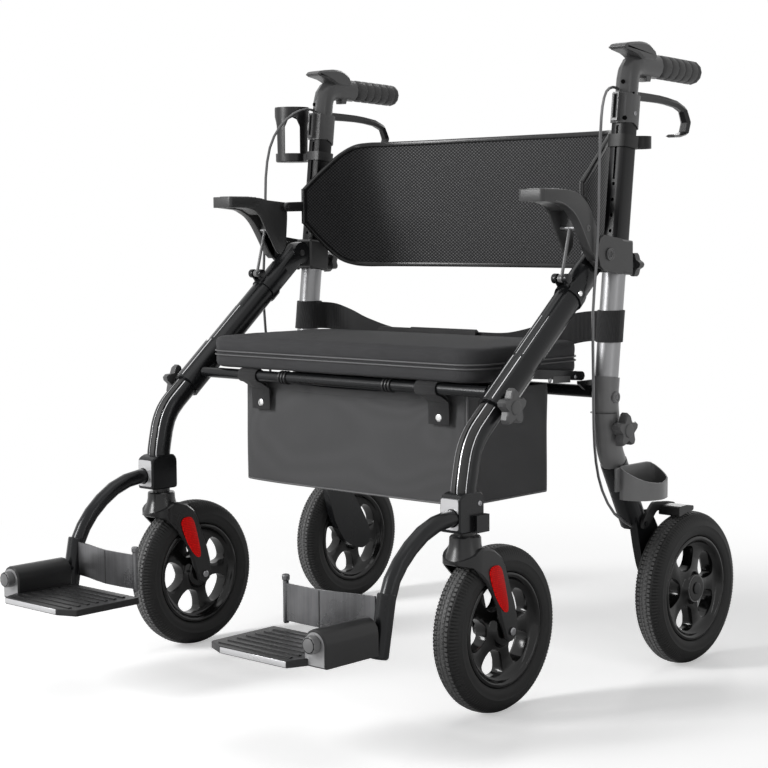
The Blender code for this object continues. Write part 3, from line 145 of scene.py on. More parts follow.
class Shader(Nodes):
    """A Principled surface whose colour, roughness and height come from nodes."""

    def __init__(self, name, roughness, metallic=0.0, specular=0.5, **sockets):
        self.material = bpy.data.materials.new(name)
        self.material.use_nodes = True
        super().__init__(self.material.node_tree)
        self.surface = self.tree.nodes["Principled BSDF"]
        sockets.update(Roughness=roughness, Metallic=metallic, Specular_IOR_Level=specular)
        for socket, value in sockets.items():
            self.surface.inputs[socket.replace("_", " ")].default_value = value
        self.place = self.node("TexCoord").outputs["Object"]

    def noise(self, scale, detail=3.0, stretch=None):
        texture = self.node("TexNoise", Scale=scale, Detail=detail)
        source = self.place
        if stretch:
            mapping = self.node("Mapping", Scale=stretch)
            self.link(source, mapping.inputs["Vector"])
            source = mapping.outputs["Vector"]
        self.link(source, texture.inputs["Vector"])
        return texture.outputs["Fac"]

    def colour(self, factor, dark, light):
        mix = self.node("Mix", data_type="RGBA")
        self.link(factor, mix.inputs["Factor"])
        for socket, value in (("A", dark), ("B", light)):
            if isinstance(value, tuple):
                mix.inputs[socket].default_value = (*value, 1)
            else:
                self.link(value, mix.inputs[socket])
        return mix.outputs["Result"]

    def paint(self, source, socket="Base Color"):
        self.link(source, self.surface.inputs[socket])

    def height(self, source, distance, strength=1.0, below=None):
        bump = self.node("Bump", Strength=strength, Distance=distance)
        self.link(source, bump.inputs["Height"])
        if below is not None:
            self.link(below, bump.inputs["Normal"])
        self.paint(bump.outputs["Normal"], "Normal")
        return bump.outputs["Normal"]


def shades(tint, spread):
    """The darker and lighter end of a tint; two numbers stand for a grey and its blue."""
    tint = (tint[0], *tint[-2:])
    return tuple(c * (1 - spread) for c in tint), tuple(min(c * (1 + spread), 1) for c in tint)


def plain(name, tint, roughness, metallic=0.0, specular=0.5, grain=900, depth=0.00006, spread=0.14, uneven=0.06,
          stretch=None, **sockets):
    """Moulded or painted surface: slow colour drift, uneven gloss and a fine grain."""
    shader = Shader(name, roughness, metallic, specular, **sockets)
    drift = shader.noise(9, 4)
    fine = shader.noise(grain, 2, stretch)
    factor = shader.band(shader.math("MULTIPLY_ADD", fine, 0.35, drift), 0.45, 0.9, 0, 1)
    shader.paint(shader.colour(factor, *shades(tint, spread)))
    shader.paint(shader.band(drift, 0.3, 0.7, max(roughness - uneven, 0.03), roughness + uneven), "Roughness")
    shader.height(fine, depth)
    return shader


def waves(shader, source, pitch):
    return shader.math("SINE", shader.math("MULTIPLY", source, 2 * math.pi / pitch))


def woven(name, tint, pitch, depth, roughness, specular, spread=0.22, sheen=0.12):
    """Plain weave: threads over and under along all three axes, so that any face shows two of them."""
    shader = Shader(name, roughness, 0.0, specular, Sheen_Weight=sheen, Sheen_Roughness=0.45)
    total = None
    for axis in shader.axes(shader.place):
        wave = waves(shader, axis, pitch)
        total = wave if total is None else shader.math("ADD", total, wave)
    drift = shader.noise(7, 4)
    fibre = shader.noise(700, 2)
    tone = shader.math("ADD", shader.band(total, -2, 2, 0.1, 0.7), shader.band(drift, 0.3, 0.7, -0.12, 0.25))
    tone = shader.math("ADD", tone, shader.band(fibre, 0.3, 0.7, -0.1, 0.1))
    shader.paint(shader.colour(tone, *shades(tint, spread)))
    first = shader.height(fibre, depth * 0.5)
    shader.height(total, depth, 0.7, first)
    return shader


def diamond_mesh(name):
    """Knitted mesh in diamonds, laid along the panel's own width and height."""
    shader = Shader(name, 0.42, 0.0, 0.2)
    across, rise, _ = shader.axes(shader.node("UVMap").outputs["UV"])
    pattern = shader.math("MULTIPLY", waves(shader, across, 0.0078), waves(shader, rise, 0.006))
    threads = shader.band(pattern, -0.5, 0.75, 0, 1)
    shader.paint(shader.colour(threads, (0.003, 0.003, 0.0035), (0.058, 0.058, 0.06)))
    shader.paint(shader.band(threads, 0, 1, 0.62, 0.33), "Roughness")
    shader.height(threads, 0.0005, 0.8)
    return shader


def tyre_look(name):
    """Rubber with a painted highlight on the running face: a paler colour standing in for the lit tread, told by the
    distance from the wheel's own plane.
    """
    shader = plain(name, (0.017, 0.017), 0.62, 0.0, 0.3, 1300, 0.0001, 0.25)
    x, y, z = shader.axes(shader.place)
    out = shader.math("ABSOLUTE", shader.math("SUBTRACT", x, SHIFT.x))
    near = shader.math("MINIMUM", *(shader.math("ABSOLUTE", shader.math("SUBTRACT", out, plane))
                                    for plane in (FRAME_X, REAR_WHEEL_X)))
    rise = shader.math("SUBTRACT", z, WHEEL_R)
    reaches = []
    for axle_y, _ in (FRONT_AXLE, REAR_AXLE):
        back = shader.math("SUBTRACT", y, axle_y + SHIFT.y)
        squares = [shader.math("MULTIPLY", leg, leg) for leg in (back, rise)]
        reaches.append(shader.math("SQRT", shader.math("ADD", *squares)))
    proud = shader.band(shader.math("MINIMUM", *reaches), 0.1245, 0.1253, 0, 1)
    # Painted highlight: the running face of each tyre is mixed towards a paler rubber colour, as if lit.
    painted_lit_tread = shader.math("MULTIPLY", shader.band(near, 0.0122, 0.014, 1, 0), proud)
    pale = shader.colour(shader.noise(500, 3), (0.07, 0.07, 0.07), (0.16, 0.16, 0.16))
    base = shader.surface.inputs["Base Color"].links[0].from_socket
    shader.paint(shader.colour(painted_lit_tread, base, pale))
    return shader


def reflector(name):
    """Red prismatic reflector with rows of small cells, which glows a little though it is no lamp: painted light."""
    # Emission in the reflector's own red makes it glow: painted light.
    shader = Shader(name, 0.4, 0.0, 0.1, Emission_Strength=0.45)
    cells = shader.node("TexVoronoi", Scale=330.0, Randomness=0.12)
    shader.link(shader.place, cells.inputs["Vector"])
    tone = shader.band(cells.outputs["Distance"], 0.1, 0.6, 0, 1)
    red = shader.colour(tone, (0.95, 0.012, 0.01), (0.3, 0.002, 0.002))
    shader.paint(red)
    shader.paint(red, "Emission Color")
    shader.height(cells.outputs["Distance"], 0.0004, 0.6)
    return shader


# Plain looks: tint, roughness, metallic, specular, grain, depth, spread. Those of the slots come first.
looks = {
    "dark_paint": plain("painted_tube", (0.011, 0.0115, 0.0125), 0.27, 0.3, 0.25, 1500, 0.00002,
                        Coat_Weight=0.12, Coat_Roughness=0.16),
    "silver_paint": plain("silver_tube", (0.26, 0.265), 0.42, 0.9, 0.5, 700, 0.00002, 0.08, stretch=(1, 1, 0.04)),
    "black_plastic": plain("moulded_black", (0.012, 0.0125), 0.36, 0.0, 0.35),
    "fork_plastic": plain("moulded_fork", (0.012, 0.0125), 0.3, 0.0, 0.4),
    "rim_plastic": plain("glossy_black", (0.007, 0.007), 0.15, 0.0, 0.35, depth=0.00001, uneven=0.03),
    "tyre_rubber": tyre_look("tyre_rubber_look"),
    "arm_plastic": plain("arm_grain", (0.04, 0.0405), 0.36, 0.0, 0.35, 1800, 0.00008),
    "grip_rubber": plain("soft_grip", (0.032, 0.0325), 0.5, 0.0, 0.35, 1600, 0.0001),
    "cable_sheath": plain("sheath", (0.14, 0.143), 0.24, 0.7, depth=0.00001),
    "heel_metal": plain("brushed_plate", (0.16, 0.165), 0.3, 0.85, 0.5, 260, 0.00005, 0.4, stretch=(1, 1, 0.03)),
    "steel": plain("steel_bolt", (0.3, 0.31), 0.22, 1.0, depth=0.00001),
    "webbing": woven("webbing_look", (0.02, 0.021), 0.0017, 0.00035, 0.62, 0.25),
    "seat_fabric": woven("seat_cloth", (0.048, 0.05), 0.0011, 0.0001, 0.7, 0.12, 0.14, 0.03),
    "bag_fabric": woven("bag_cloth", (0.082, 0.084), 0.0012, 0.0001, 0.85, 0.2, 0.14, 0.05),
    "mesh_fabric": diamond_mesh("diamond_mesh"),
    "red_reflector": reflector("red_reflector"),
}
for name, *values in (
        ("vinyl_border", (0.009, 0.0095), 0.24, 0.0, 0.4, 1200, 0.00004),
        ("stitched_piping", (0.08, 0.082), 0.5, 0.0, 0.5, 1500, 0.0001),
        ("bag_piping", (0.095, 0.097), 0.45, 0.0, 0.5, 1500, 0.0001),
        ("snap", (0.8, 0.8), 0.18, 1.0, 0.5, 900, 0.00001),
        ("bright_face", (0.58, 0.59), 0.3, 0.55, 0.5, 1000, 0.00002, 0.05),
        ("bright_groove", (0.62, 0.63), 0.24, 0.9, 0.5, 900, 0.00001, 0.05),
        ("dark_recess", (0.006, 0.006), 0.6),
        # Near-black matte for the handle head's holes and slot: painted shade in hollows.
        ("deep_recess", (0.003, 0.003), 0.9, 0.0, 0.04),
        ("slot_rim", (0.07, 0.071), 0.6, 0.0, 0.12),
        # A lighter arm grey; on the leg's lip and on the screw heads it is a painted highlight.
        ("arm_edge", (0.075, 0.076), 0.3, 0.0, 0.45, 1800, 0.00004),
        ("foot_face", (0.34, 0.345), 0.34, 0.35, 0.5, 1400, 0.00003, 0.1),
        ("stay_face", (0.055, 0.056), 0.34, 0.2, 0.5, 1400, 0.00003),
        ("light_moulding", (0.15, 0.152), 0.34, 0.0, 0.4, 1200, 0.00004),
        ("socket_moulding", (0.16, 0.161), 0.3, 0.0, 0.45, 1300, 0.00004),
        ("knob_moulding", (0.07, 0.071), 0.36, 0.0, 0.4, 1300, 0.00005),
        ("cane_moulding", (0.18, 0.181), 0.36, 0.0, 0.4, 1300, 0.00005),
        ("head_casting", (0.065, 0.066), 0.32, 0.0, 0.4, 1600, 0.00006),
        ("handle_tube", (0.0045, 0.005), 0.34, 0.0, 0.18, 1500, 0.00002),
        ("clip_bands", (0.006, 0.006), 0.38, 0.0, 0.22, 1500, 0.00002)):
    looks[name] = plain(name, *values)


# Mesh building

def in_scene(data, name="shape"):
    thing = bpy.data.objects.new(name, data)
    bpy.context.scene.collection.objects.link(thing)
    return thing


def redrawn(mesh, weld=0.0, flat=False, outward=False):
    """The mesh with close points welded, flat areas made one face, or its normals turned outwards."""
    drawn = bmesh.new()
    drawn.from_mesh(mesh)
    if weld:
        bmesh.ops.remove_doubles(drawn, verts=drawn.verts[:], dist=weld)
    if flat:
        bmesh.ops.dissolve_limit(drawn, angle_limit=math.radians(1.0), verts=drawn.verts[:], edges=drawn.edges[:])
    if outward:
        bmesh.ops.recalc_face_normals(drawn, faces=drawn.faces[:])
    drawn.to_mesh(mesh)
    drawn.free()


def shape(points, faces):
    mesh = bpy.data.meshes.new("shape")
    mesh.from_pydata([tuple(point) for point in points], [], faces)
    redrawn(mesh, outward=True)
    return in_scene(mesh)


def applied(thing):
    bpy.context.view_layer.update()
    seen = thing.evaluated_get(bpy.context.evaluated_depsgraph_get())
    mesh = bpy.data.meshes.new_from_object(seen)
    thing.modifiers.clear()
    thing.data = mesh
    return thing


def modified(thing, kind, **settings):
    step = thing.modifiers.new("step", kind)
    for key, value in settings.items():
        setattr(step, key, value)
    return applied(thing)


def cut(first, *others):
    for other in others:
        step = first.modifiers.new("step", "BOOLEAN")
        step.operation = "DIFFERENCE"
        step.solver = "EXACT"
        step.object = other
    applied(first)
    for other in others:
        bpy.data.objects.remove(other)
    return first


def joined(*things):
    """Several loose shapes as one mesh."""
    drawn = bmesh.new()
    for thing in things:
        drawn.from_mesh(thing.data)
    for thing in things[1:]:
        bpy.data.objects.remove(thing)
    drawn.to_mesh(things[0].data)
    drawn.free()
    return things[0]


def softened(thing, width, segments=2, limit=34):
    """Edges sharper than the limit rounded, so that they catch the light."""
    redrawn(thing.data, weld=0.00002, flat=bool(width))
    if width:
        modified(thing, "BEVEL", width=width, segments=segments, limit_method="ANGLE",
                 angle_limit=math.radians(limit))
    return thing


def corners(low_a, low_b, high_a, high_b):
    return [(low_a, low_b), (high_a, low_b), (high_a, high_b), (low_a, high_b)]


def eased(points, reach, steps=6, closed=True):
    """The points' line with its corners rounded."""
    points = [Vector(point) for point in points]
    count = len(points)
    line = []
    for index, corner in enumerate(points):
        if not closed and index in (0, count - 1):
            line.append(corner)
            continue
        before = points[index - 1] - corner
        after = points[(index + 1) % count] - corner
        start = corner + before.normalized() * min(reach, before.length * 0.45)
        end = corner + after.normalized() * min(reach, after.length * 0.45)
        for step in range(steps + 1):
            part = step / steps
            line.append(start * (1 - part) ** 2 + corner * 2 * part * (1 - part) + end * part ** 2)
    return line


def smooth_line(knots, steps=8):
    """A line through all the knots without corners."""
    line = []
    for index in range(len(knots) - 1):
        four = [Vector(knots[min(max(index + step, 0), len(knots) - 1)]) for step in (-1, 0, 1, 2)]
        for step in range(steps):
            t = step / steps
            line.append(0.5 * (2 * four[1] + (four[2] - four[0]) * t
                               + (2 * four[0] - 5 * four[1] + 4 * four[2] - four[3]) * t * t
                               + (3 * four[1] - four[0] - 3 * four[2] + four[3]) * t ** 3))
    line.append(Vector(knots[-1]))
    return line


def round_spot(centre, radius, degrees):
    angle = math.radians(degrees)
    return centre[0] + radius * math.cos(angle), centre[1] + radius * math.sin(angle)


def rounded_box(half_a, half_b, reach, steps=6):
    return eased(corners(-half_a, -half_b, half_a, half_b), reach, steps)


def ring(radius, sides=10):
    return [(radius * math.cos(2 * math.pi * s / sides), radius * math.sin(2 * math.pi * s / sides))
            for s in range(sides)]


def quads(rows, count, closed=True, looped=False):
    """Faces between rows of points; a row may close on itself, and the last row may meet the first."""
    total = rows * count
    return [[row * count + i, row * count + (i + 1) % count,
             ((row + 1) * count + (i + 1) % count) % total, ((row + 1) * count + i) % total]
            for row in range(rows if looped else rows - 1) for i in range(count if closed else count - 1)]


def lofted(levels, cap_low=True, cap_high=True, looped=False):
    """Loops of equal count, each a list of points, skinned in order."""
    rows, count = len(levels), len(levels[0])
    caps = [list(range(count))] if cap_low else []
    if cap_high:
        caps.append([(rows - 1) * count + i for i in range(count)])
    return shape([point for level in levels for point in level], caps + quads(rows, count, looped=looped))


def prism(outline, low, high, axis="x"):
    spot = {"x": lambda a, b, t: (t, a, b), "y": lambda a, b, t: (a, t, b), "z": lambda a, b, t: (a, b, t)}[axis]
    return lofted([[spot(a, b, t) for a, b in outline] for t in (low, high)])


def slab(outline, reach, steps, low, high, axis="x"):
    """A prism with rounded corners."""
    return prism(eased(outline, reach, steps), low, high, axis)


def box(low, high):
    return prism(corners(low[0], low[1], high[0], high[1]), low[2], high[2], "z")


def turned(profile, centre, sides=48, direction=(1, 0, 0), closed=False):
    """A profile of (radius, distance along) turned about an axis."""
    along = Vector(direction).normalized()
    across = Vector((0, 0, 1)) if abs(along.z) < 0.9 else Vector((1, 0, 0))
    across = (across - along * across.dot(along)).normalized()
    other = along.cross(across)
    points, rings = [], []
    for radius, distance in profile:
        middle = Vector(centre) + along * distance
        if radius == 0:
            rings.append([len(points)] * sides)
            points.append(middle)
            continue
        rings.append(list(range(len(points), len(points) + sides)))
        for step in range(sides):
            angle = 2 * math.pi * step / sides
            points.append(middle + (across * math.cos(angle) + other * math.sin(angle)) * radius)
    faces = []
    for near, far in (zip(rings, rings[1:] + rings[:1]) if closed else zip(rings, rings[1:])):
        for step in range(sides):
            after = (step + 1) % sides
            face = [near[step], near[after], far[after], far[step]]
            faces.append([corner for place, corner in enumerate(face) if corner not in face[:place]])
    return shape(points, faces)


def rod(centre, start, end, radius, sides=32, direction=(1, 0, 0)):
    return turned([(0, start), (radius, start), (radius, end), (0, end)], centre, sides, direction)


def headings(path):
    """The direction of a line at each of its points."""
    last = len(path) - 1
    return [(path[min(index + 1, last)] - path[max(index - 1, 0)]).normalized() for index in range(last + 1)]


def swept(path, section, side=(1, 0, 0), capped=True):
    """A section drawn along a line; side, one or one for each point, is where its first axis points."""
    path = [Vector(point) for point in path]
    sides = side if isinstance(side, list) else [Vector(side)] * len(path)
    levels = []
    for here, ahead, side in zip(path, headings(path), sides):
        across = (side - ahead * side.dot(ahead)).normalized()
        up = ahead.cross(across)
        levels.append([here + across * a + up * b for a, b in section])
    return lofted(levels, capped, capped)


def place(name, thing, look, body, slot=None, side=1, node=None, crease=35, shift=True, edge=0.0, even=False):
    """Mirrors, smooths, paints and hangs a finished piece on its body; {} in a name is the side's word."""
    word = SIDES[side]
    if edge:
        softened(thing, edge)
    mesh = thing.data
    if side < 0:
        mesh.transform(Matrix.Diagonal((-1, 1, 1, 1)))
        mesh.flip_normals()
    if shift:
        mesh.transform(Matrix.Translation(SHIFT))
    mesh.materials.clear()
    mesh.materials.append(looks[look].material)
    mesh.shade_smooth()
    mesh.set_sharp_from_angle(angle=math.radians(crease))
    if even:
        mesh = modified(thing, "WEIGHTED_NORMAL", keep_sharp=True).data
    thing.name = mesh.name = name.format(word)
    if node:
        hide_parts(node.format(word))
    if body:
        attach(thing, body.format(word))
    return thing


for entry in frame["record"]["subparts"]:
    solid = frame["nodes"][entry["node"]]
    solid["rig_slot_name"] = entry["material_slot"]
    solid.data.materials.clear()
    solid.data.materials.append(looks[entry["material_slot"]].material)


def dressed(node, look, width):
    """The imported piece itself, with its flat facets read as one smooth surface and its edges rounded."""
    source = frame["nodes"][node]
    copy = in_scene(source.data.copy())
    mesh = copy.data
    for name in [a.name for a in mesh.attributes if a.name in ("custom_normal", "sharp_edge", "sharp_face")]:
        mesh.attributes.remove(mesh.attributes[name])
    softened(copy, width)
    place(node + "_shown", copy, look, source["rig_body"], source["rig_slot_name"], node=node, crease=33, shift=False,
          even=True)


# Wheels

TYRE_HALF = [
    (0.0881, 0.0196, "bead"), (0.0905, 0.0222, "bead"), (0.0925, 0.0228, "side"), (0.0945, 0.0236, "side"),
    (0.099, 0.024, "side"), (0.103, 0.0241, "side"), (0.105, 0.0247, "side"), (0.1064, 0.0241, "side"),
    (0.111, 0.0233, "side"), (0.114, 0.0223, "rib"), (0.117, 0.0211, "rib"), (0.1196, 0.0193, "rib"),
    (0.1216, 0.0172, "rib"), (0.123, 0.015, "rib"), (0.1239, 0.0138, "gap"), (0.124, 0.0126, "gap"),
    (0.1254, 0.0117, "outer"), (0.1263, 0.0078, "outer"), (0.125, 0.0068, "gap"), (0.1251, 0.006, "gap"),
    (0.1268, 0.0052, "middle"), (0.127, 0.0022, "middle"), (0.1256, 0.0014, "gap"), (0.1256, 0.0, "gap"),
]
TREAD = {"rib": (3, 0.0019), "outer": (4, 0.0024), "middle": (4, 0.0021)}       # every so many steps, this deep
TREAD_STEPS = 420


def tyre(x, axle):
    """Carcass with a rim bead, ribbed shoulders and three rows of blocks round the middle."""
    profile = [(r, -a, kind) for r, a, kind in TYRE_HALF] + [(r, a, kind) for r, a, kind in reversed(TYRE_HALF[:-1])]
    levels = []
    for step in range(TREAD_STEPS):
        angle = 2 * math.pi * step / TREAD_STEPS
        level = []
        for r, across, kind in profile:
            every, depth = TREAD.get(kind, (1, 0.0))
            offset = 2 if kind == "middle" and across > 0 else 0
            radius = r - depth if (step + offset) % every == 0 else r
            level.append((x + across, axle[0] + radius * math.sin(angle), axle[1] + radius * math.cos(angle)))
        levels.append(level)
    return lofted(levels, False, False, looped=True)


def rim(x, axle, bore):
    """Deep moulded wheel: rounded windows between five spokes, stepped barrel and a hub."""
    half = [
        (bore, 0.0215), (0.021, 0.0215), (0.0226, 0.0205), (0.024, 0.0175), (0.0262, 0.0125), (0.03, 0.0105),
        (0.05, 0.0096), (0.07, 0.0105), (0.0752, 0.0122), (0.0785, 0.0168), (0.08, 0.02), (0.0822, 0.0212),
        (0.085, 0.0214), (0.0866, 0.0204), (0.0877, 0.019),
    ]
    window = ((0.0325, -17), (0.0325, 17), (0.048, 25), (0.069, 24), (0.0735, 9), (0.0735, -9), (0.069, -24),
              (0.048, -25))
    profile = [(r, -a) for r, a in half] + [(r, a) for r, a in reversed(half)]
    wheel = turned(profile, (x, *axle), 120, closed=True)
    cutters = [slab([round_spot(axle, radius, 36 + 72 * number + degrees) for radius, degrees in window], 0.009, 4,
                    x - 0.03, x + 0.03) for number in range(5)]
    return softened(cut(wheel, *cutters), 0.0026, 3, 50)


for side in SIDES:
    for spot, x, axle, bore in (("front", FRAME_X, FRONT_AXLE, 0.0053), ("rear", REAR_WHEEL_X, REAR_AXLE, 0.0063)):
        for kind, look, made, end, crease in (("tyre", "tyre_rubber", tyre(x, axle), "tread", 28),
                                              ("rim", "rim_plastic", rim(x, axle, bore), "moulded", 40)):
            node = f"{kind}_{spot}_{{}}"
            place(f"{node}_{end}", made, look, f"{spot}_wheel_{{}}", side=side, node=node, crease=crease)

# The rest of the hard pieces keep their solids' shapes, smoothed
for base, look, width in (
        ("fork", "fork_plastic", 0.0022), ("front_axle", "steel", 0.0006), ("seat_rail", "dark_paint", 0.0006),
        ("handle_post", "handle_tube", 0.0), ("handle_head", "head_casting", 0.0014),
        ("arm_bracket", "arm_plastic", 0.0008), ("star_knob_front", "knob_moulding", 0.0012),
        ("star_knob_rear", "knob_moulding", 0.0012), ("front_leg", "dark_paint", 0.0008),
        ("front_tube", "dark_paint", 0.0009), ("rear_socket", "socket_moulding", 0.0008),
        ("rear_post", "silver_paint", 0.0005), ("rear_leg", "dark_paint", 0.001),
        ("brake_shoe", "black_plastic", 0.0008), ("brake_lever", "black_plastic", 0.001),
        ("footplate", "black_plastic", 0.001),
        ("footrest_hanger", "dark_paint", 0.0006), ("heel_loop", "heel_metal", 0.0004), ("grip", "grip_rubber", 0.0),
        ("brake_cable", "cable_sheath", 0.0)):
    for word in SIDES.values():
        dressed(f"{base}_{word}", look, width)
for node, look, width in (("front_crossbar", "dark_paint", 0.0006), ("rear_crossbar", "dark_paint", 0.0006),
                          ("cup_holder", "black_plastic", 0.0007), ("cane_cup", "cane_moulding", 0.0007),
                          ("cane_clip", "clip_bands", 0.0007), ("buckle", "black_plastic", 0.0009)):
    dressed(node, look, width)


# Soft goods

SEAT_HALF_X = 0.303
SEAT_SPAN = (0.0, 0.29)
SEAT_MIDDLE = 0.145
SEAT_CORNER = 0.045
SEAT_BOTTOM, SEAT_SEAM, SEAT_TOP = 0.49, 0.516, 0.548


def corner_loop(half_x, span, corner, inset=0.0, per_corner=10, per_side=24):
    """Points round a rectangle with round corners, evenly enough for a loft; each with its outward normal."""
    low_y, high_y = span[0] + inset, span[1] - inset
    half = half_x - inset
    radius = max(corner - inset, 0.004)
    centres = [(half - radius, high_y - radius, 0), (-half + radius, high_y - radius, 90),
               (-half + radius, low_y + radius, 180), (half - radius, low_y + radius, 270)]
    loop = []
    for index, (cx, cy, start) in enumerate(centres):
        for step in range(per_corner + 1):
            out = Vector(round_spot((0, 0), 1, start + 90 * step / per_corner))
            loop.append((Vector((cx, cy)) + out * radius, out))
        here, out = loop[-1]
        there = Vector(centres[(index + 1) % 4][:2]) + out * radius
        for step in range(1, per_side):
            loop.append((here.lerp(there, step / per_side), out))
    return loop


def puffed(thing, voxel, pressure, most, held, frames=20):
    """The pad swollen by a short cloth run, with what held(point) names kept still and no point moved past most."""
    modified(thing, "REMESH", mode="VOXEL", voxel_size=voxel)
    before = [vertex.co.copy() for vertex in thing.data.vertices]
    group = thing.vertex_groups.new(name="held")
    for index, spot in enumerate(before):
        group.add([index], held(spot), "REPLACE")
    cloth = thing.modifiers.new("cloth", "CLOTH")
    settings = cloth.settings
    settings.quality = 4
    settings.mass = 0.3
    settings.tension_stiffness = settings.compression_stiffness = 12
    settings.bending_stiffness = 0.6
    settings.use_pressure = True
    settings.uniform_pressure_force = pressure
    settings.vertex_group_mass = "held"
    settings.effector_weights.gravity = 0.0
    cloth.point_cache.frame_start = 1
    cloth.point_cache.frame_end = frames
    scene = bpy.context.scene
    for number in range(1, frames + 1):
        scene.frame_set(number)
    applied(thing)
    scene.frame_set(1)
    thing.vertex_groups.clear()
    for vertex, old in zip(thing.data.vertices, before):
        move = vertex.co - old
        if move.length > most:
            vertex.co = old + move.normalized() * most
    return thing


def rumpled(thing, amount, scale, mask):
    """Shallow folds pressed into the surface along its normals, steady from run to run."""
    normals = [vertex.normal.copy() for vertex in thing.data.vertices]
    for vertex, normal in zip(thing.data.vertices, normals):
        here = vertex.co
        wave = 0.0
        for share, finer in ((1, 1), (0.5, 2.3)):
            wave += share * noise.noise(Vector([value * size * finer for value, size in zip(here, scale)]))
        vertex.co = here + normal * amount * wave * mask(here)
    return thing


def seat_inward(spot):
    """How far a point lies inside the seat's outline, seen from above."""
    return min(SEAT_HALF_X - abs(spot.x), spot.y - SEAT_SPAN[0], SEAT_SPAN[1] - spot.y)


def seat_cushion():
    """Boxed cushion: crowned top, sides drawn in at the seam round its middle, flat below."""
    def level(inset, z, share=1):
        return [(p.x * share, SEAT_MIDDLE + (p.y - SEAT_MIDDLE) * share, z) if share != 1 else (p.x, p.y, z)
                for p, _ in corner_loop(SEAT_HALF_X, SEAT_SPAN, SEAT_CORNER, inset)]

    levels = [level(0.012, SEAT_BOTTOM + 0.001, 0.1)]
    levels += [level(inset, z) for z, inset in (
        (SEAT_BOTTOM + 0.001, 0.012), (SEAT_BOTTOM + 0.003, 0.006), (SEAT_BOTTOM + 0.008, 0.0032),
        (SEAT_SEAM - 0.008, 0.003), (SEAT_SEAM, 0.005), (SEAT_SEAM + 0.008, 0.003), (SEAT_TOP - 0.012, 0.0032),
        (SEAT_TOP - 0.007, 0.0052), (SEAT_TOP - 0.004, 0.01))]
    levels += [level(0.01, SEAT_TOP - fall, 1 - part) for part, fall in (
        (0.06, 0.003), (0.25, 0.0028), (0.5, 0.002), (0.8, 0.0018), (0.97, 0.0018))]

    def held(spot):
        if spot.z < SEAT_BOTTOM + 0.004 or abs(spot.z - SEAT_SEAM) < 0.004:
            return 1.0
        return 0.75 if seat_inward(spot) < 0.03 else 0.25

    pad = modified(puffed(lofted(levels), 0.005, 3.0, 0.005, held), "SUBSURF", levels=1, render_levels=1)
    skin = 0.0004
    for vertex in pad.data.vertices:
        spot = vertex.co
        spot.z = min(max(spot.z, SEAT_BOTTOM + skin), SEAT_TOP)
        spot.x = min(max(spot.x, -SEAT_HALF_X + skin), SEAT_HALF_X - skin)
        spot.y = min(max(spot.y, SEAT_SPAN[0] + skin), SEAT_SPAN[1] - skin)
    rumpled(pad, 0.0011, (16, 16, 7), lambda here: 0.15 + 0.85 * max(0.0, 1 - seat_inward(here) / 0.05))
    return place("seat_cushion", pad, "seat_fabric", "seat_body", node="seat", crease=60)


def seat_piping():
    for name, height in (("upper", SEAT_SEAM + 0.0032), ("lower", SEAT_SEAM - 0.0032)):
        loop = [(p.x, p.y, height) for p, _ in corner_loop(SEAT_HALF_X, SEAT_SPAN, SEAT_CORNER, 0.003, 12, 12)]
        cord = swept(loop + [loop[0]], ring(0.0015), (0, 0, 1), capped=False)
        place(f"seat_piping_{name}", cord, "stitched_piping", "seat_body", "seat_fabric", crease=60)


# Half the panel in plan from its end: x, y, lower edge, upper edge
BACK_STATIONS = [
    (0.312, 0.258, 0.736, 0.8), (0.3095, 0.285, 0.713, 0.822), (0.3055, 0.312, 0.69, 0.843),
    (0.299, 0.342, 0.668, 0.866), (0.289, 0.37, 0.6585, 0.8815), (0.274, 0.391, 0.656, 0.886),
    (0.25, 0.4055, 0.656, 0.8865), (0.205, 0.418, 0.656, 0.887), (0.14, 0.429, 0.656, 0.8875),
    (0.07, 0.435, 0.656, 0.888),
]
BACK_CENTRE = (0.0, 0.4365, 0.656, 0.888)
BACK_BORDER = 0.0085
BACK_ROWS = 26


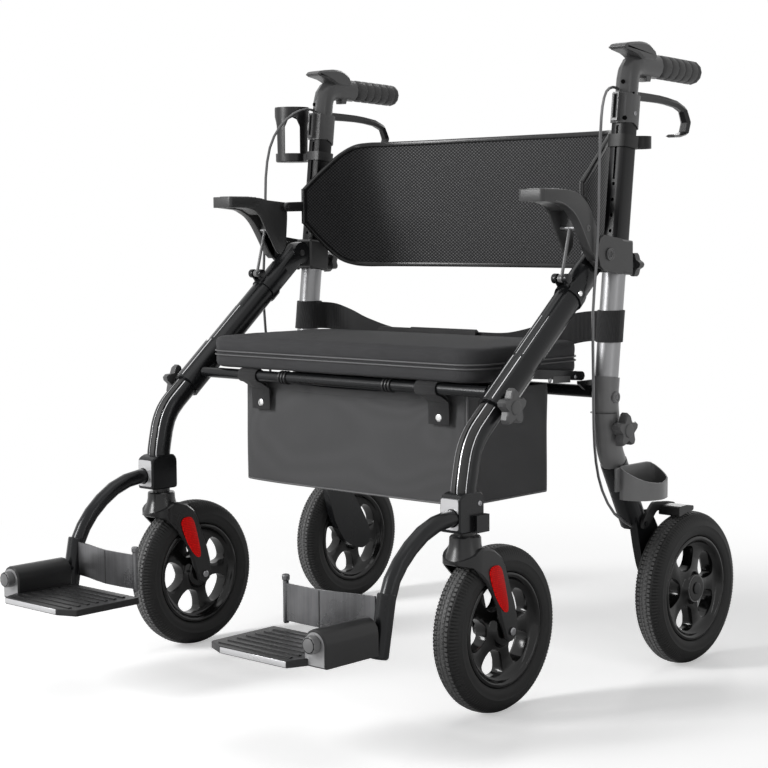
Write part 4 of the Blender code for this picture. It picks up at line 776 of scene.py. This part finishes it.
def backrest():
    """Stretched mesh in a thick glossy border, on a bar at each end."""
    line = smooth_line(BACK_STATIONS + [BACK_CENTRE] + [(-k[0], *k[1:]) for k in reversed(BACK_STATIONS)], 6)
    plan = [Vector((k[0], k[1])) for k in line]
    run = [0.0]
    for before, after in zip(plan, plan[1:]):
        run.append(run[-1] + (after - before).length)
    points, uvs = [], []
    for k, along in zip(line, run):
        low, high = k[2] + BACK_BORDER * 0.6, k[3] - BACK_BORDER * 0.6
        for row in range(BACK_ROWS + 1):
            z = low + (high - low) * row / BACK_ROWS
            points.append((k[0], k[1], z))
            uvs.append((along, z))
    mesh = bpy.data.meshes.new("shape")
    mesh.from_pydata(points, [], quads(len(line), BACK_ROWS + 1, closed=False)[BACK_ROWS:-BACK_ROWS])
    layer = mesh.uv_layers.new(name="cloth")
    for loop in mesh.loops:
        layer.data[loop.index].uv = uvs[loop.vertex_index]
    cloth = place("backrest_mesh", in_scene(mesh), "mesh_fabric", "back", node="backrest", crease=60)

    outs = [Vector((ahead.y, -ahead.x, 0)) for ahead in headings(plan)]
    inset = BACK_BORDER * 0.52
    for name, edge in (("upper", [(k[0], k[1], k[3] - inset) for k in line]),
                       ("lower", [(k[0], k[1], k[2] + inset) for k in line])):
        border = swept(edge, rounded_box(0.0036, inset, 0.003, 5), outs)
        place(f"backrest_border_{name}", border, "vinyl_border", "back", "mesh_fabric", crease=50)
    for side in SIDES:
        end = [(BACK_STATIONS[0][0] - 0.0005, 0.259, z) for z in (0.7365, 0.76, 0.78, 0.7995)]
        place("backrest_end_{}", swept(end, rounded_box(0.0036, 0.0052, 0.003, 5)), "vinyl_border", "back",
              "mesh_fabric", side)
        bar = slab([(0.209, 0.758), (0.263, 0.759), (0.27, 0.768), (0.263, 0.7765), (0.215, 0.775),
                    (0.2065, 0.7665)], 0.006, 5, 0.309, 0.318)
        place("backrest_bar_{}", softened(bar, 0.0014, 3), "black_plastic", "back", side=side)
    area = sum((b - a) * ((k[3] - k[2]) - BACK_BORDER * 1.2) for k, a, b in zip(line[1:-2], run[1:-2], run[2:-1]))
    return cloth, run[-2] - run[1], area


def bag():
    """Open bag of cloth hung by two tabs: its walls sag between the tabs and belly out below."""
    half_x, span, low, high = 0.2545, (0.043, 0.26), 0.292, 0.47
    rows, per_corner, per_side = 34, 6, 40
    loop = corner_loop(half_x, span, 0.014, 0.004, per_corner, per_side)
    levels = []
    for row in range(rows + 1):
        part = row / rows
        level = []
        for point, out in loop:
            across = abs(point.x) / half_x
            front = 1 - min(1.0, (point.y - span[0]) / (span[1] - span[0]))
            droop = 0.009 * (1 - across ** 2) * part
            belly = 0.003 * math.sin(math.pi * (1 - part) ** 0.8) * (1 - across ** 4)
            fold = noise.noise(Vector((point.x * 9, point.y * 9 + 3, part * 2.2))) * 0.0024 * (0.35 + 0.65 * part)
            drag = 0.0022 * math.sin(6.5 * part + across * 5) * math.exp(-((across - 0.8) / 0.18) ** 2) * part * front
            reach = belly + fold + drag - 0.002
            z = low + 0.0035 + (high - low - 0.0055) * part - droop
            sag = 0.0025 * (1 - part) * across ** 6
            level.append((point.x + out.x * reach, point.y + out.y * reach, z + sag))
        levels.append(level)
    middle_y = (span[0] + span[1]) / 2
    base = [levels[0]]
    for part, drop in ((0.05, 0.0022), (0.14, 0.003), (0.35, 0.0033), (0.7, 0.0034), (0.97, 0.0034)):
        base.append([(x * (1 - part), middle_y + (y - middle_y) * (1 - part), max(z - drop, low + 0.0002))
                     for x, y, z in levels[0]])
    cloth = joined(lofted(levels, False, False), lofted(base, False, True))
    redrawn(cloth.data, weld=0.00005, outward=True)
    modified(cloth, "SOLIDIFY", thickness=0.0014, offset=-1)
    parts = [place("bag_cloth", cloth, "bag_fabric", None, node="bag", crease=50)]

    hem = swept(levels[-1] + levels[-1][:1], rounded_box(0.006, 0.0012, 0.001, 3), (0, 0, 1), capped=False)
    parts.append(place("bag_hem", hem, "bag_fabric", None, crease=50))
    for name, spot in (("front_left", 3), ("front_right", 2), ("back_left", 0), ("back_right", 1)):
        index = spot * (per_corner + per_side) + per_corner // 2
        cord = swept([level[index] for level in levels], ring(0.0019))
        parts.append(place(f"bag_piping_{name}", cord, "bag_piping", None, "bag_fabric", crease=60))
    cord = swept(levels[0] + levels[0][:1], ring(0.0018), (0, 0, 1), capped=False)
    parts.append(place("bag_piping_foot", cord, "bag_piping", None, "bag_fabric", crease=60))
    tab_x, tab_half = 0.2, 0.0215
    for side in SIDES:
        path = [(0.0385, 0.421), (0.038, 0.442), (0.035, 0.464)]
        path += [round_spot(CROSSBAR, 0.0108, a) for a in range(-60, 271, 15)]
        path += [(0.0225, 0.4655), (0.04, 0.454), (0.043, 0.44)]
        strap = swept([(tab_x, *p) for p in smooth_line(path, 3)], rounded_box(tab_half, 0.0007, 0.0005, 2))
        parts.append(place("bag_tab_{}", strap, "webbing", None, "bag_fabric", side, crease=50))
        snap = turned([(0, -0.001), (0.0062, -0.001), (0.0062, 0.0006), (0.0052, 0.0014), (0.003, 0.0018),
                       (0, 0.0018)], (tab_x, 0.0376, 0.432), 24, (0, -1, 0))
        parts.append(place("bag_snap_{}", snap, "snap", None, "steel", side))
    for piece in parts:
        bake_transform(piece, "front_frame", "frame", start=tuple(Vector((0, 0.03, 0.47)) + SHIFT),
                 end=tuple(Vector((0, 0.15, 0.47)) + SHIFT))


def lap_belt():
    belt_z, belt_half = 0.568, 0.0255
    stations = [                        # inwards from the frame plane, y, height over the fastening
        (0.0222, 0.299, -0.0005), (0.024, 0.306, -0.0008), (0.029, 0.3125, -0.0012), (0.041, 0.3155, -0.002),
        (0.058, 0.3125, -0.0035), (0.077, 0.308, -0.007), (0.101, 0.305, -0.0135), (0.141, 0.3035, -0.027),
        (0.211, 0.303, -0.0425), (0.291, 0.303, -0.044),
    ]
    half = [(FRAME_X - step, y, belt_z + rise) for step, y, rise in stations]
    line = smooth_line(half + [(-x, y, z) for x, y, z in reversed(half)], 6)
    band = swept(line, rounded_box(belt_half - 0.001, 0.0011, 0.0008, 3), (0, 0, 1))
    place("lap_belt_strap", band, "webbing", "frame", node="lap_belt", crease=50)
    centre = (FRAME_X, on_post(belt_z).x)
    lean = (0, POST_LEAN, 1)
    for side in SIDES:
        loop = []
        for step in range(65):
            angle = 2 * math.pi * step / 64
            loop.append((*round_spot(centre, 0.0213 + 0.001 * math.cos(2 * angle + 0.7), math.degrees(angle)), belt_z))
        wrap = swept(loop, rounded_box(belt_half, 0.001, 0.0008, 3), lean, capped=False)
        place("lap_belt_loop_{}", wrap, "webbing", "frame", side=side, crease=50)
        fold = swept([(*round_spot(centre, 0.0228, a), belt_z) for a in range(95, 186, 9)],
                     rounded_box(belt_half - 0.0005, 0.0008, 0.0006, 2), lean)
        place("lap_belt_fold_{}", fold, "webbing", "frame", side=side, crease=50)


seat_cushion()
seat_piping()
back_cloth, back_run, back_area = backrest()
bag()
lap_belt()


# Armrests and small trim

def screw(spot, radius=0.0042):
    """Domed head with a round driver recess, facing outwards."""
    return turned([(0, 0.0004), (radius * 0.42, 0.0004), (radius * 0.5, 0.0013), (radius * 0.8, 0.0011),
                   (radius, 0.0002), (radius, -0.001), (0, -0.001)], spot, 24)


def armrest(side):
    """Flat pad with upright sides, broad curved leg outside, thin wing inside and the link rod between them."""
    def hang(name, thing, look, slot="arm_plastic", **options):
        place(f"armrest_{name}_{{}}", thing, look, "front_frame", slot, side, **options)

    pad = slab(corners(FRAME_X - 0.0215, 0.0835, FRAME_X + 0.0265, 0.15), 0.007, 6, 0.7648, 0.7838, "z")
    bend = slab([(0.12, 0.7648), (0.12, 0.7838), (0.156, 0.7826), (0.176, 0.7785), (0.198, 0.764),
                 (0.178, 0.752), (0.159, 0.752), (0.138, 0.762)], 0.005, 4, FRAME_X - 0.0211, FRAME_X + 0.0258)
    leg = slab([(0.0906, 0.765), (0.0906, 0.7836), (0.15, 0.783), (0.176, 0.7785), (0.201, 0.761),
                (0.213, 0.742), (0.2225, 0.724), (0.2225, 0.67), (0.206, 0.686), (0.1941, 0.706),
                (0.183, 0.7233), (0.172, 0.7383), (0.159, 0.75), (0.1361, 0.761)], 0.008, 4,
               FRAME_X + 0.011, FRAME_X + 0.0267)
    core = slab([(0.183, 0.73), (0.213, 0.742), (0.235, 0.708), (0.263, 0.703), (0.28, 0.694),
                 (0.283, 0.678), (0.265, 0.66), (0.235, 0.662), (0.208, 0.685)], 0.006, 3,
                FRAME_X + 0.011, FRAME_X + 0.019)
    wing = slab([(0.13, 0.766), (0.148, 0.757), (0.158, 0.748), (0.1694, 0.7279), (0.1839, 0.7062),
                 (0.1949, 0.6886), (0.206, 0.679), (0.22, 0.696), (0.224, 0.745), (0.224, 0.7745),
                 (0.17, 0.779)], 0.005, 4, FRAME_X - 0.0212, FRAME_X - 0.0172)
    bridge = box(beside(-0.019, 0.187, 0.72), beside(0.013, 0.21, 0.756))
    shell = softened(joined(pad, bend, leg, core, wing, bridge), 0.0012, 3, 50)
    hang("shell", shell, "arm_plastic", node="armrest_{}", crease=45)

    # The lip along the leg's lower edge is a painted highlight: a lighter strip where the bevelled edge catches the
    # light.
    edge = eased([(0.218, 0.6795), (0.2075, 0.69), (0.1957, 0.7068), (0.1846, 0.7241), (0.1733, 0.7393),
                  (0.1597, 0.7513), (0.1366, 0.7624), (0.115, 0.7663)], 0.008, 4, closed=False)
    lip = swept([beside(0.0267, *p) for p in edge], rounded_box(0.0005, 0.0008, 0.0004, 3))
    hang("lip", lip, "arm_edge")
    top = slab(corners(FRAME_X - 0.013, 0.092, FRAME_X + 0.018, 0.14), 0.006, 5, 0.783, 0.7849, "z")
    hang("inlay", top, "arm_edge", edge=0.0006)
    ribs = joined(*[box(beside(-0.01, 0.145 + 0.0045 * k, 0.7815 - 0.0009 * k),
                        beside(0.016, 0.1468 + 0.0045 * k, 0.7846 - 0.0009 * k)) for k in range(5)])
    hang("ribs", ribs, "arm_edge")

    foot, head = Vector((FRAME_X, *LINK_FOOT)), Vector((FRAME_X, 0.187, 0.725))
    link = rod(foot, 0.003, (head - foot).length, 0.0026, 16, head - foot)
    eye = turned([(0.0031, -0.004), (0.006, -0.004), (0.006, 0.004), (0.0031, 0.004)], foot, 24, closed=True)
    hang("link", joined(link, eye), "light_moulding")
    pin = rod(head, -0.019, 0.012, 0.0022, 16)
    hang("link_pin", pin, "foot_face", "steel")
    # The screw head is painted lighter grey: a painted highlight of its rim.
    hang("screw", screw(beside(0.0268, 0.1993, 0.7245), 0.0052), "arm_edge", "steel")
    ring_face = turned([(0.004, 0.0), (0.0046, 0.0012), (0.0058, 0.0012), (0.0062, 0.0004), (0.0086, 0.0004),
                        (0.009, 0.0012), (0.0099, 0.001), (0.0103, -0.0008), (0.004, -0.0008)],
                       beside(0.0258, 0.26, 0.6835), 40, closed=True)
    place("bracket_ring_{}", ring_face, "arm_edge", "frame", "black_plastic", side, crease=25)
    back = rod(beside(-0.0335, 0.215, 0.766), 0.0, 0.015, 0.0039, 20)
    hang("back_pin", back, "steel", "steel")


def reflectors(side):
    outline = [(-0.0384, 0.2325), (-0.049, 0.2305), (-0.0535, 0.2235), (-0.049, 0.208), (-0.04, 0.187),
               (-0.029, 0.17), (-0.019, 0.16), (-0.0138, 0.1578), (-0.0105, 0.1625), (-0.012, 0.175),
               (-0.017, 0.195), (-0.0215, 0.212), (-0.0255, 0.224), (-0.031, 0.231)]
    for name, low, high in (("outer", 0.033, 0.0362), ("inner", -0.0362, -0.033)):
        drop = slab(outline, 0.004, 3, FRAME_X + low, FRAME_X + high)
        place(f"reflector_{name}_{{}}", drop, "red_reflector", "caster_{}", "fork_plastic", side, edge=0.0009)


def lines(name, path, radius, body, side, *strips):
    """Thin strips lying along a tube, each with its angle from the tube's front, turning outwards."""
    path = [Vector(p) for p in path]
    fronts = [Vector((0, -ahead.y, ahead.x)) for ahead in headings(path)]
    for number, (angle, width, look) in enumerate(strips):
        c, s = math.cos(math.radians(angle)), math.sin(math.radians(angle))
        line = [Vector((FRAME_X, *here)) + front * c * radius + Vector((1, 0, 0)) * s * radius
                for here, front in zip(path, fronts)]
        strip = swept(line, rounded_box(width / 2, 0.00035, 0.00028, 2),
                      Vector((1, 0, 0)) * c - fronts[len(fronts) // 2] * s)
        place(f"{name}_{number}_{{}}", strip, look, body, "dark_paint", side)


def tube_trim(side):
    leg = "front_leg_body_{}"
    plate = slab(corners(FRAME_X - 0.0165, 0.2895, FRAME_X + 0.0165, 0.3345), 0.004, 4, -0.1037, -0.1027, "y")
    plate = cut(plate, rod((0.3455, -0.1032, 0.307), -0.01, 0.01, 0.0137, 40, (0, 1, 0)))
    place("leg_face_{}", plate, "bright_face", leg, "dark_paint", side)
    place("leg_screw_{}", screw(beside(0.0197, -0.058, 0.325)), "steel", leg, side=side)
    curve = eased([(-0.0715, 0.336), (-0.0715, 0.349), (-0.0574, 0.4126), on_tube(-0.004)], 0.03, 8, closed=False)
    lines("leg_line", curve, 0.0191, leg, side, (-34, 0.0014, "bright_groove"), (10, 0.0016, "bright_groove"),
          (50, 0.0012, "bright_groove"), (-12, 0.008, "dark_recess"), (30, 0.01, "dark_recess"))
    lines("sleeve_line", [on_tube(0.004 + 0.018 * k) for k in range(6)], 0.0244, "front_frame", side,
          (-8, 0.0022, "bright_groove"), (24, 0.0012, "bright_groove"))
    lines("tube_line", [on_tube(0.1 + 0.014 * k) for k in range(7)], 0.02235, "front_frame", side,
          (-8, 0.0016, "bright_groove"), (24, 0.0008, "bright_groove"))
    place("tube_screw_{}", screw(beside(0.0232, 0.1842, 0.6237), 0.0045), "snap", "front_frame", "steel", side)


def foot_trim(side):
    edge = box((0.186, -0.4142, 0.1412), (0.316, -0.4131, 0.1493))
    place("footplate_edge_{}", edge, "bright_face", "plate_{}", "black_plastic", side, edge=0.0004)
    low, high = FRAME_X - 0.0175, FRAME_X + 0.0185
    arch = [(low, 0.142), (high, 0.142)]
    arch += [round_spot((FRAME_X + 0.0005, 0.17), (high - low) / 2, a) for a in range(0, 181, 10)]
    face = cut(prism(arch, -0.3844, -0.3836, "y"), rod(beside(*FOOT_KNOB), -0.01, 0.01, 0.0066, direction=(0, 1, 0)))
    place("footplate_face_{}", face, "foot_face", "plate_{}", "black_plastic", side)
    cap = turned([(0, -0.0135), (0.0085, -0.0133), (0.0118, -0.0118), (0.0128, -0.0095), (0.0128, -0.0012),
                  (0.007, -0.0008), (0, -0.0008)], beside(*FOOT_KNOB), 40, (0, 1, 0))
    place("footplate_knob_{}", cap, "light_moulding", "hanger_{}", "black_plastic", side)
    seam = box((0.2403, -0.2735, 0.1605), (0.2415, -0.2727, 0.2145))
    place("heel_seam_{}", seam, "dark_recess", "hanger_{}", "heel_metal", side)


def small_trim(side):
    # Three ridges of the clamp that holds the seat's front on the crossbar, and the lugs of the link rod
    ridges = [turned([(0.0092, -0.0022), (0.0112, -0.0016), (0.0116, 0.0), (0.0112, 0.0016), (0.0092, 0.0022)],
                     (0.117 + 0.0065 * k, *CROSSBAR), 36, closed=True) for k in (-1, 0, 1)]
    place("crossbar_hook_{}", joined(*ridges), "black_plastic", "front_frame", side=side)
    lugs = [rod(beside(x, *LINK_FOOT), -0.0044, 0.0044, 0.0078, 28) for x in (-0.0105, 0.0105)]
    place("link_lugs_{}", joined(*lugs), "dark_paint", "front_frame", side=side, edge=0.0008)

    button = turned([(0, 0.0022), (0.0034, 0.0022), (0.0038, 0.0014), (0.0052, 0.0014), (0.0056, 0.0024),
                     (0.0078, 0.0024), (0.0084, 0.0016), (0.0096, 0.0012), (0.01, -0.0012), (0, -0.0012)],
                    beside(0.0213, *on_post(0.455)), 40)
    place("socket_button_{}", button, "light_moulding", "frame", "black_plastic", side, crease=20)
    bend = on_post(0.43)
    seam = swept([(*round_spot((FRAME_X, bend.x), 0.02165, a), 0.43) for a in range(0, 361, 9)],
                 rounded_box(0.0006, 0.0003, 0.0002, 2), (0, 0, 1), capped=False)
    place("socket_seam_{}", seam, "dark_recess", "frame", "black_plastic", side)

    handle = "handle_{}"
    # The head's holes and slot are near-black plugs and strips: painted shade where the hollows are.
    for number, (out, y, z, direction, size) in enumerate((
            (0.0135, 0.315, 0.899, (0.75, -0.66, 0), 0.0036), (0.005, 0.3222, 0.957, (0.3, -0.95, 0), 0.0034),
            (0.017, 0.334, 0.939, (1, 0, 0), 0.0016))):
        hole = turned([(0, 0.0008), (size * 0.8, 0.0008), (size, 0.0011), (size, -0.002), (0, -0.002)],
                      beside(out, y, z), 24, direction)
        place(f"head_hole_{number}_{{}}", hole, "deep_recess", handle, "black_plastic", side)
    place("head_screw_{}", screw(beside(0.0172, 0.3388, 0.9064), 0.0038), "steel", handle, side=side)
    ahead = Vector((0, -1, POST_LEAN)).normalized()
    for name, low, high, half, out, look in (("rim", 0.8955, 0.9345, 0.0042, 0.0298, "slot_rim"),
                                             ("slot", 0.897, 0.933, 0.0022, 0.0301, "deep_recess")):
        ends = [Vector((FRAME_X, *on_post(z))) + ahead * out for z in (low, high)]
        place(f"head_{name}_{{}}", swept(ends, rounded_box(half, 0.0004, 0.0003, 2)), look, handle,
              "black_plastic", side)

    patch = prism([(0.1843, 0.4925), (0.2294, 0.4905), (0.2294, 0.48), (0.1843, 0.4818)], 0.311, 0.3119)
    place("stay_patch_{}", patch, "stay_face", "rail_{}", "dark_paint", side)
    for number, (y, z) in enumerate(((0.1765, 0.4866), (0.244, 0.4878))):
        place(f"stay_screw_{number}_{{}}", screw((0.3114, y, z), 0.0036), "steel", "rail_{}", side=side)

    for name, look, crease, profile in (
            ("cap", "rim_plastic", 25, [(0.0068, 0.0217), (0.02, 0.0217), (0.0206, 0.0212), (0.0206, 0.019),
                                        (0.0068, 0.019)]),
            ("ring", "light_moulding", 35, [(0.0212, 0.0212), (0.0226, 0.0214), (0.023, 0.0208), (0.0212, 0.02)])):
        place(f"hub_{name}_{{}}", turned(profile, (REAR_WHEEL_X, *REAR_AXLE), 60, closed=True), look,
              "rear_wheel_{}", "rim_plastic", side, crease=crease)


for side in SIDES:
    for trim in (armrest, reflectors, tube_trim, foot_trim, small_trim):
        trim(side)


# Stage, light and camera

def stage_floor():
    """Pale paper that keeps the shadows near the object and fades to plain white further off."""
    reach = 20
    floor = shape([(a, b, 0) for a, b in corners(-reach, -reach, reach, reach)], [[0, 1, 2, 3]])
    floor.name = "floor"
    material = bpy.data.materials.new("floor_white")
    material.use_nodes = True
    material.node_tree.nodes.clear()
    nodes = Nodes(material.node_tree)
    paper = nodes.node("BsdfDiffuse", Color=(0.96, 0.96, 0.96, 1))
    lift = nodes.node("Emission")
    seen = nodes.node("LightPath").outputs["Is Camera Ray"]
    nodes.link(nodes.math("MULTIPLY", seen, 0.42), lift.inputs["Strength"])
    far = nodes.node("VectorMath", operation="LENGTH")
    nodes.link(nodes.node("TexCoord").outputs["Object"], far.inputs[0])
    fade = nodes.band(far.outputs["Value"], 0.75, 1.7, 0, 1, interpolation_type="SMOOTHSTEP")
    near = nodes.fed("AddShader", paper.outputs[0], lift.outputs[0])
    mixed = nodes.fed("MixShader", fade, near, nodes.fed("Emission"))
    nodes.link(mixed, nodes.node("OutputMaterial").inputs["Surface"])
    floor.data.materials.append(material)


def studio():
    world = bpy.data.worlds.new("studio")
    bpy.context.scene.world = world
    world.use_nodes = True
    nodes = Nodes(world.node_tree)
    seen = nodes.node("LightPath").outputs
    shown = nodes.math("MAXIMUM", seen["Is Camera Ray"], seen["Is Glossy Ray"])
    shown = nodes.math("MAXIMUM", shown, seen["Is Transmission Ray"])
    back = world.node_tree.nodes["Background"]
    back.inputs["Color"].default_value = (1, 1, 1, 1)
    nodes.link(nodes.band(shown, 0, 1, 0.12, 1), back.inputs["Strength"])
    for name, spot, target, wide, tall, power in (("key_left", (-1.7, -3.0, 1.9), (0, 0, 0.45), 0.9, 1.8, 118),
                                                  ("top", (0.2, -0.3, 3.4), (0, 0, 0.4), 2.0, 2.0, 13),
                                                  ("strip_right", (3.0, -0.4, 1.4), (0, 0.1, 0.5), 0.12, 2.4, 7),
                                                  ("strip_back", (-1.2, 3.0, 1.8), (0, 0, 0.6), 0.4, 2.4, 16)):
        lamp = bpy.data.lights.new(name, "AREA")
        lamp.shape = "RECTANGLE"
        lamp.size, lamp.size_y = wide, tall
        lamp.energy = power
        thing = in_scene(lamp, name)
        thing.location = spot
        thing.rotation_euler = (Vector(target) - Vector(spot)).to_track_quat("-Z", "Y").to_euler()


def camera():
    """At the photograph's viewing angle: turn, pitch, roll, place, and focal length in pixels of its frame."""
    azimuth, pitch, roll = math.radians(42.425), math.radians(-5.009), math.radians(-0.398)
    spot, focal, pixels, sensor = (1.98325, -2.10915, 0.724), 1758.55, 768, 36.0
    right = Vector((math.cos(azimuth), math.sin(azimuth), 0))
    ahead = Vector((-math.sin(azimuth) * math.cos(pitch), math.cos(azimuth) * math.cos(pitch), math.sin(pitch)))
    up = right.cross(ahead)
    side = right * math.cos(roll) + up * math.sin(roll)
    lens = bpy.data.cameras.new("camera")
    lens.sensor_width = sensor
    lens.lens = focal / pixels * sensor
    lens.clip_end = 100
    thing = in_scene(lens, "camera")
    thing.matrix_world = Matrix.Translation(spot) @ Matrix((side, side.cross(ahead), -ahead)).transposed().to_4x4()
    bpy.context.scene.camera = thing


stage_floor()
studio()
camera()
bpy.context.scene.view_settings.view_transform = "Standard"
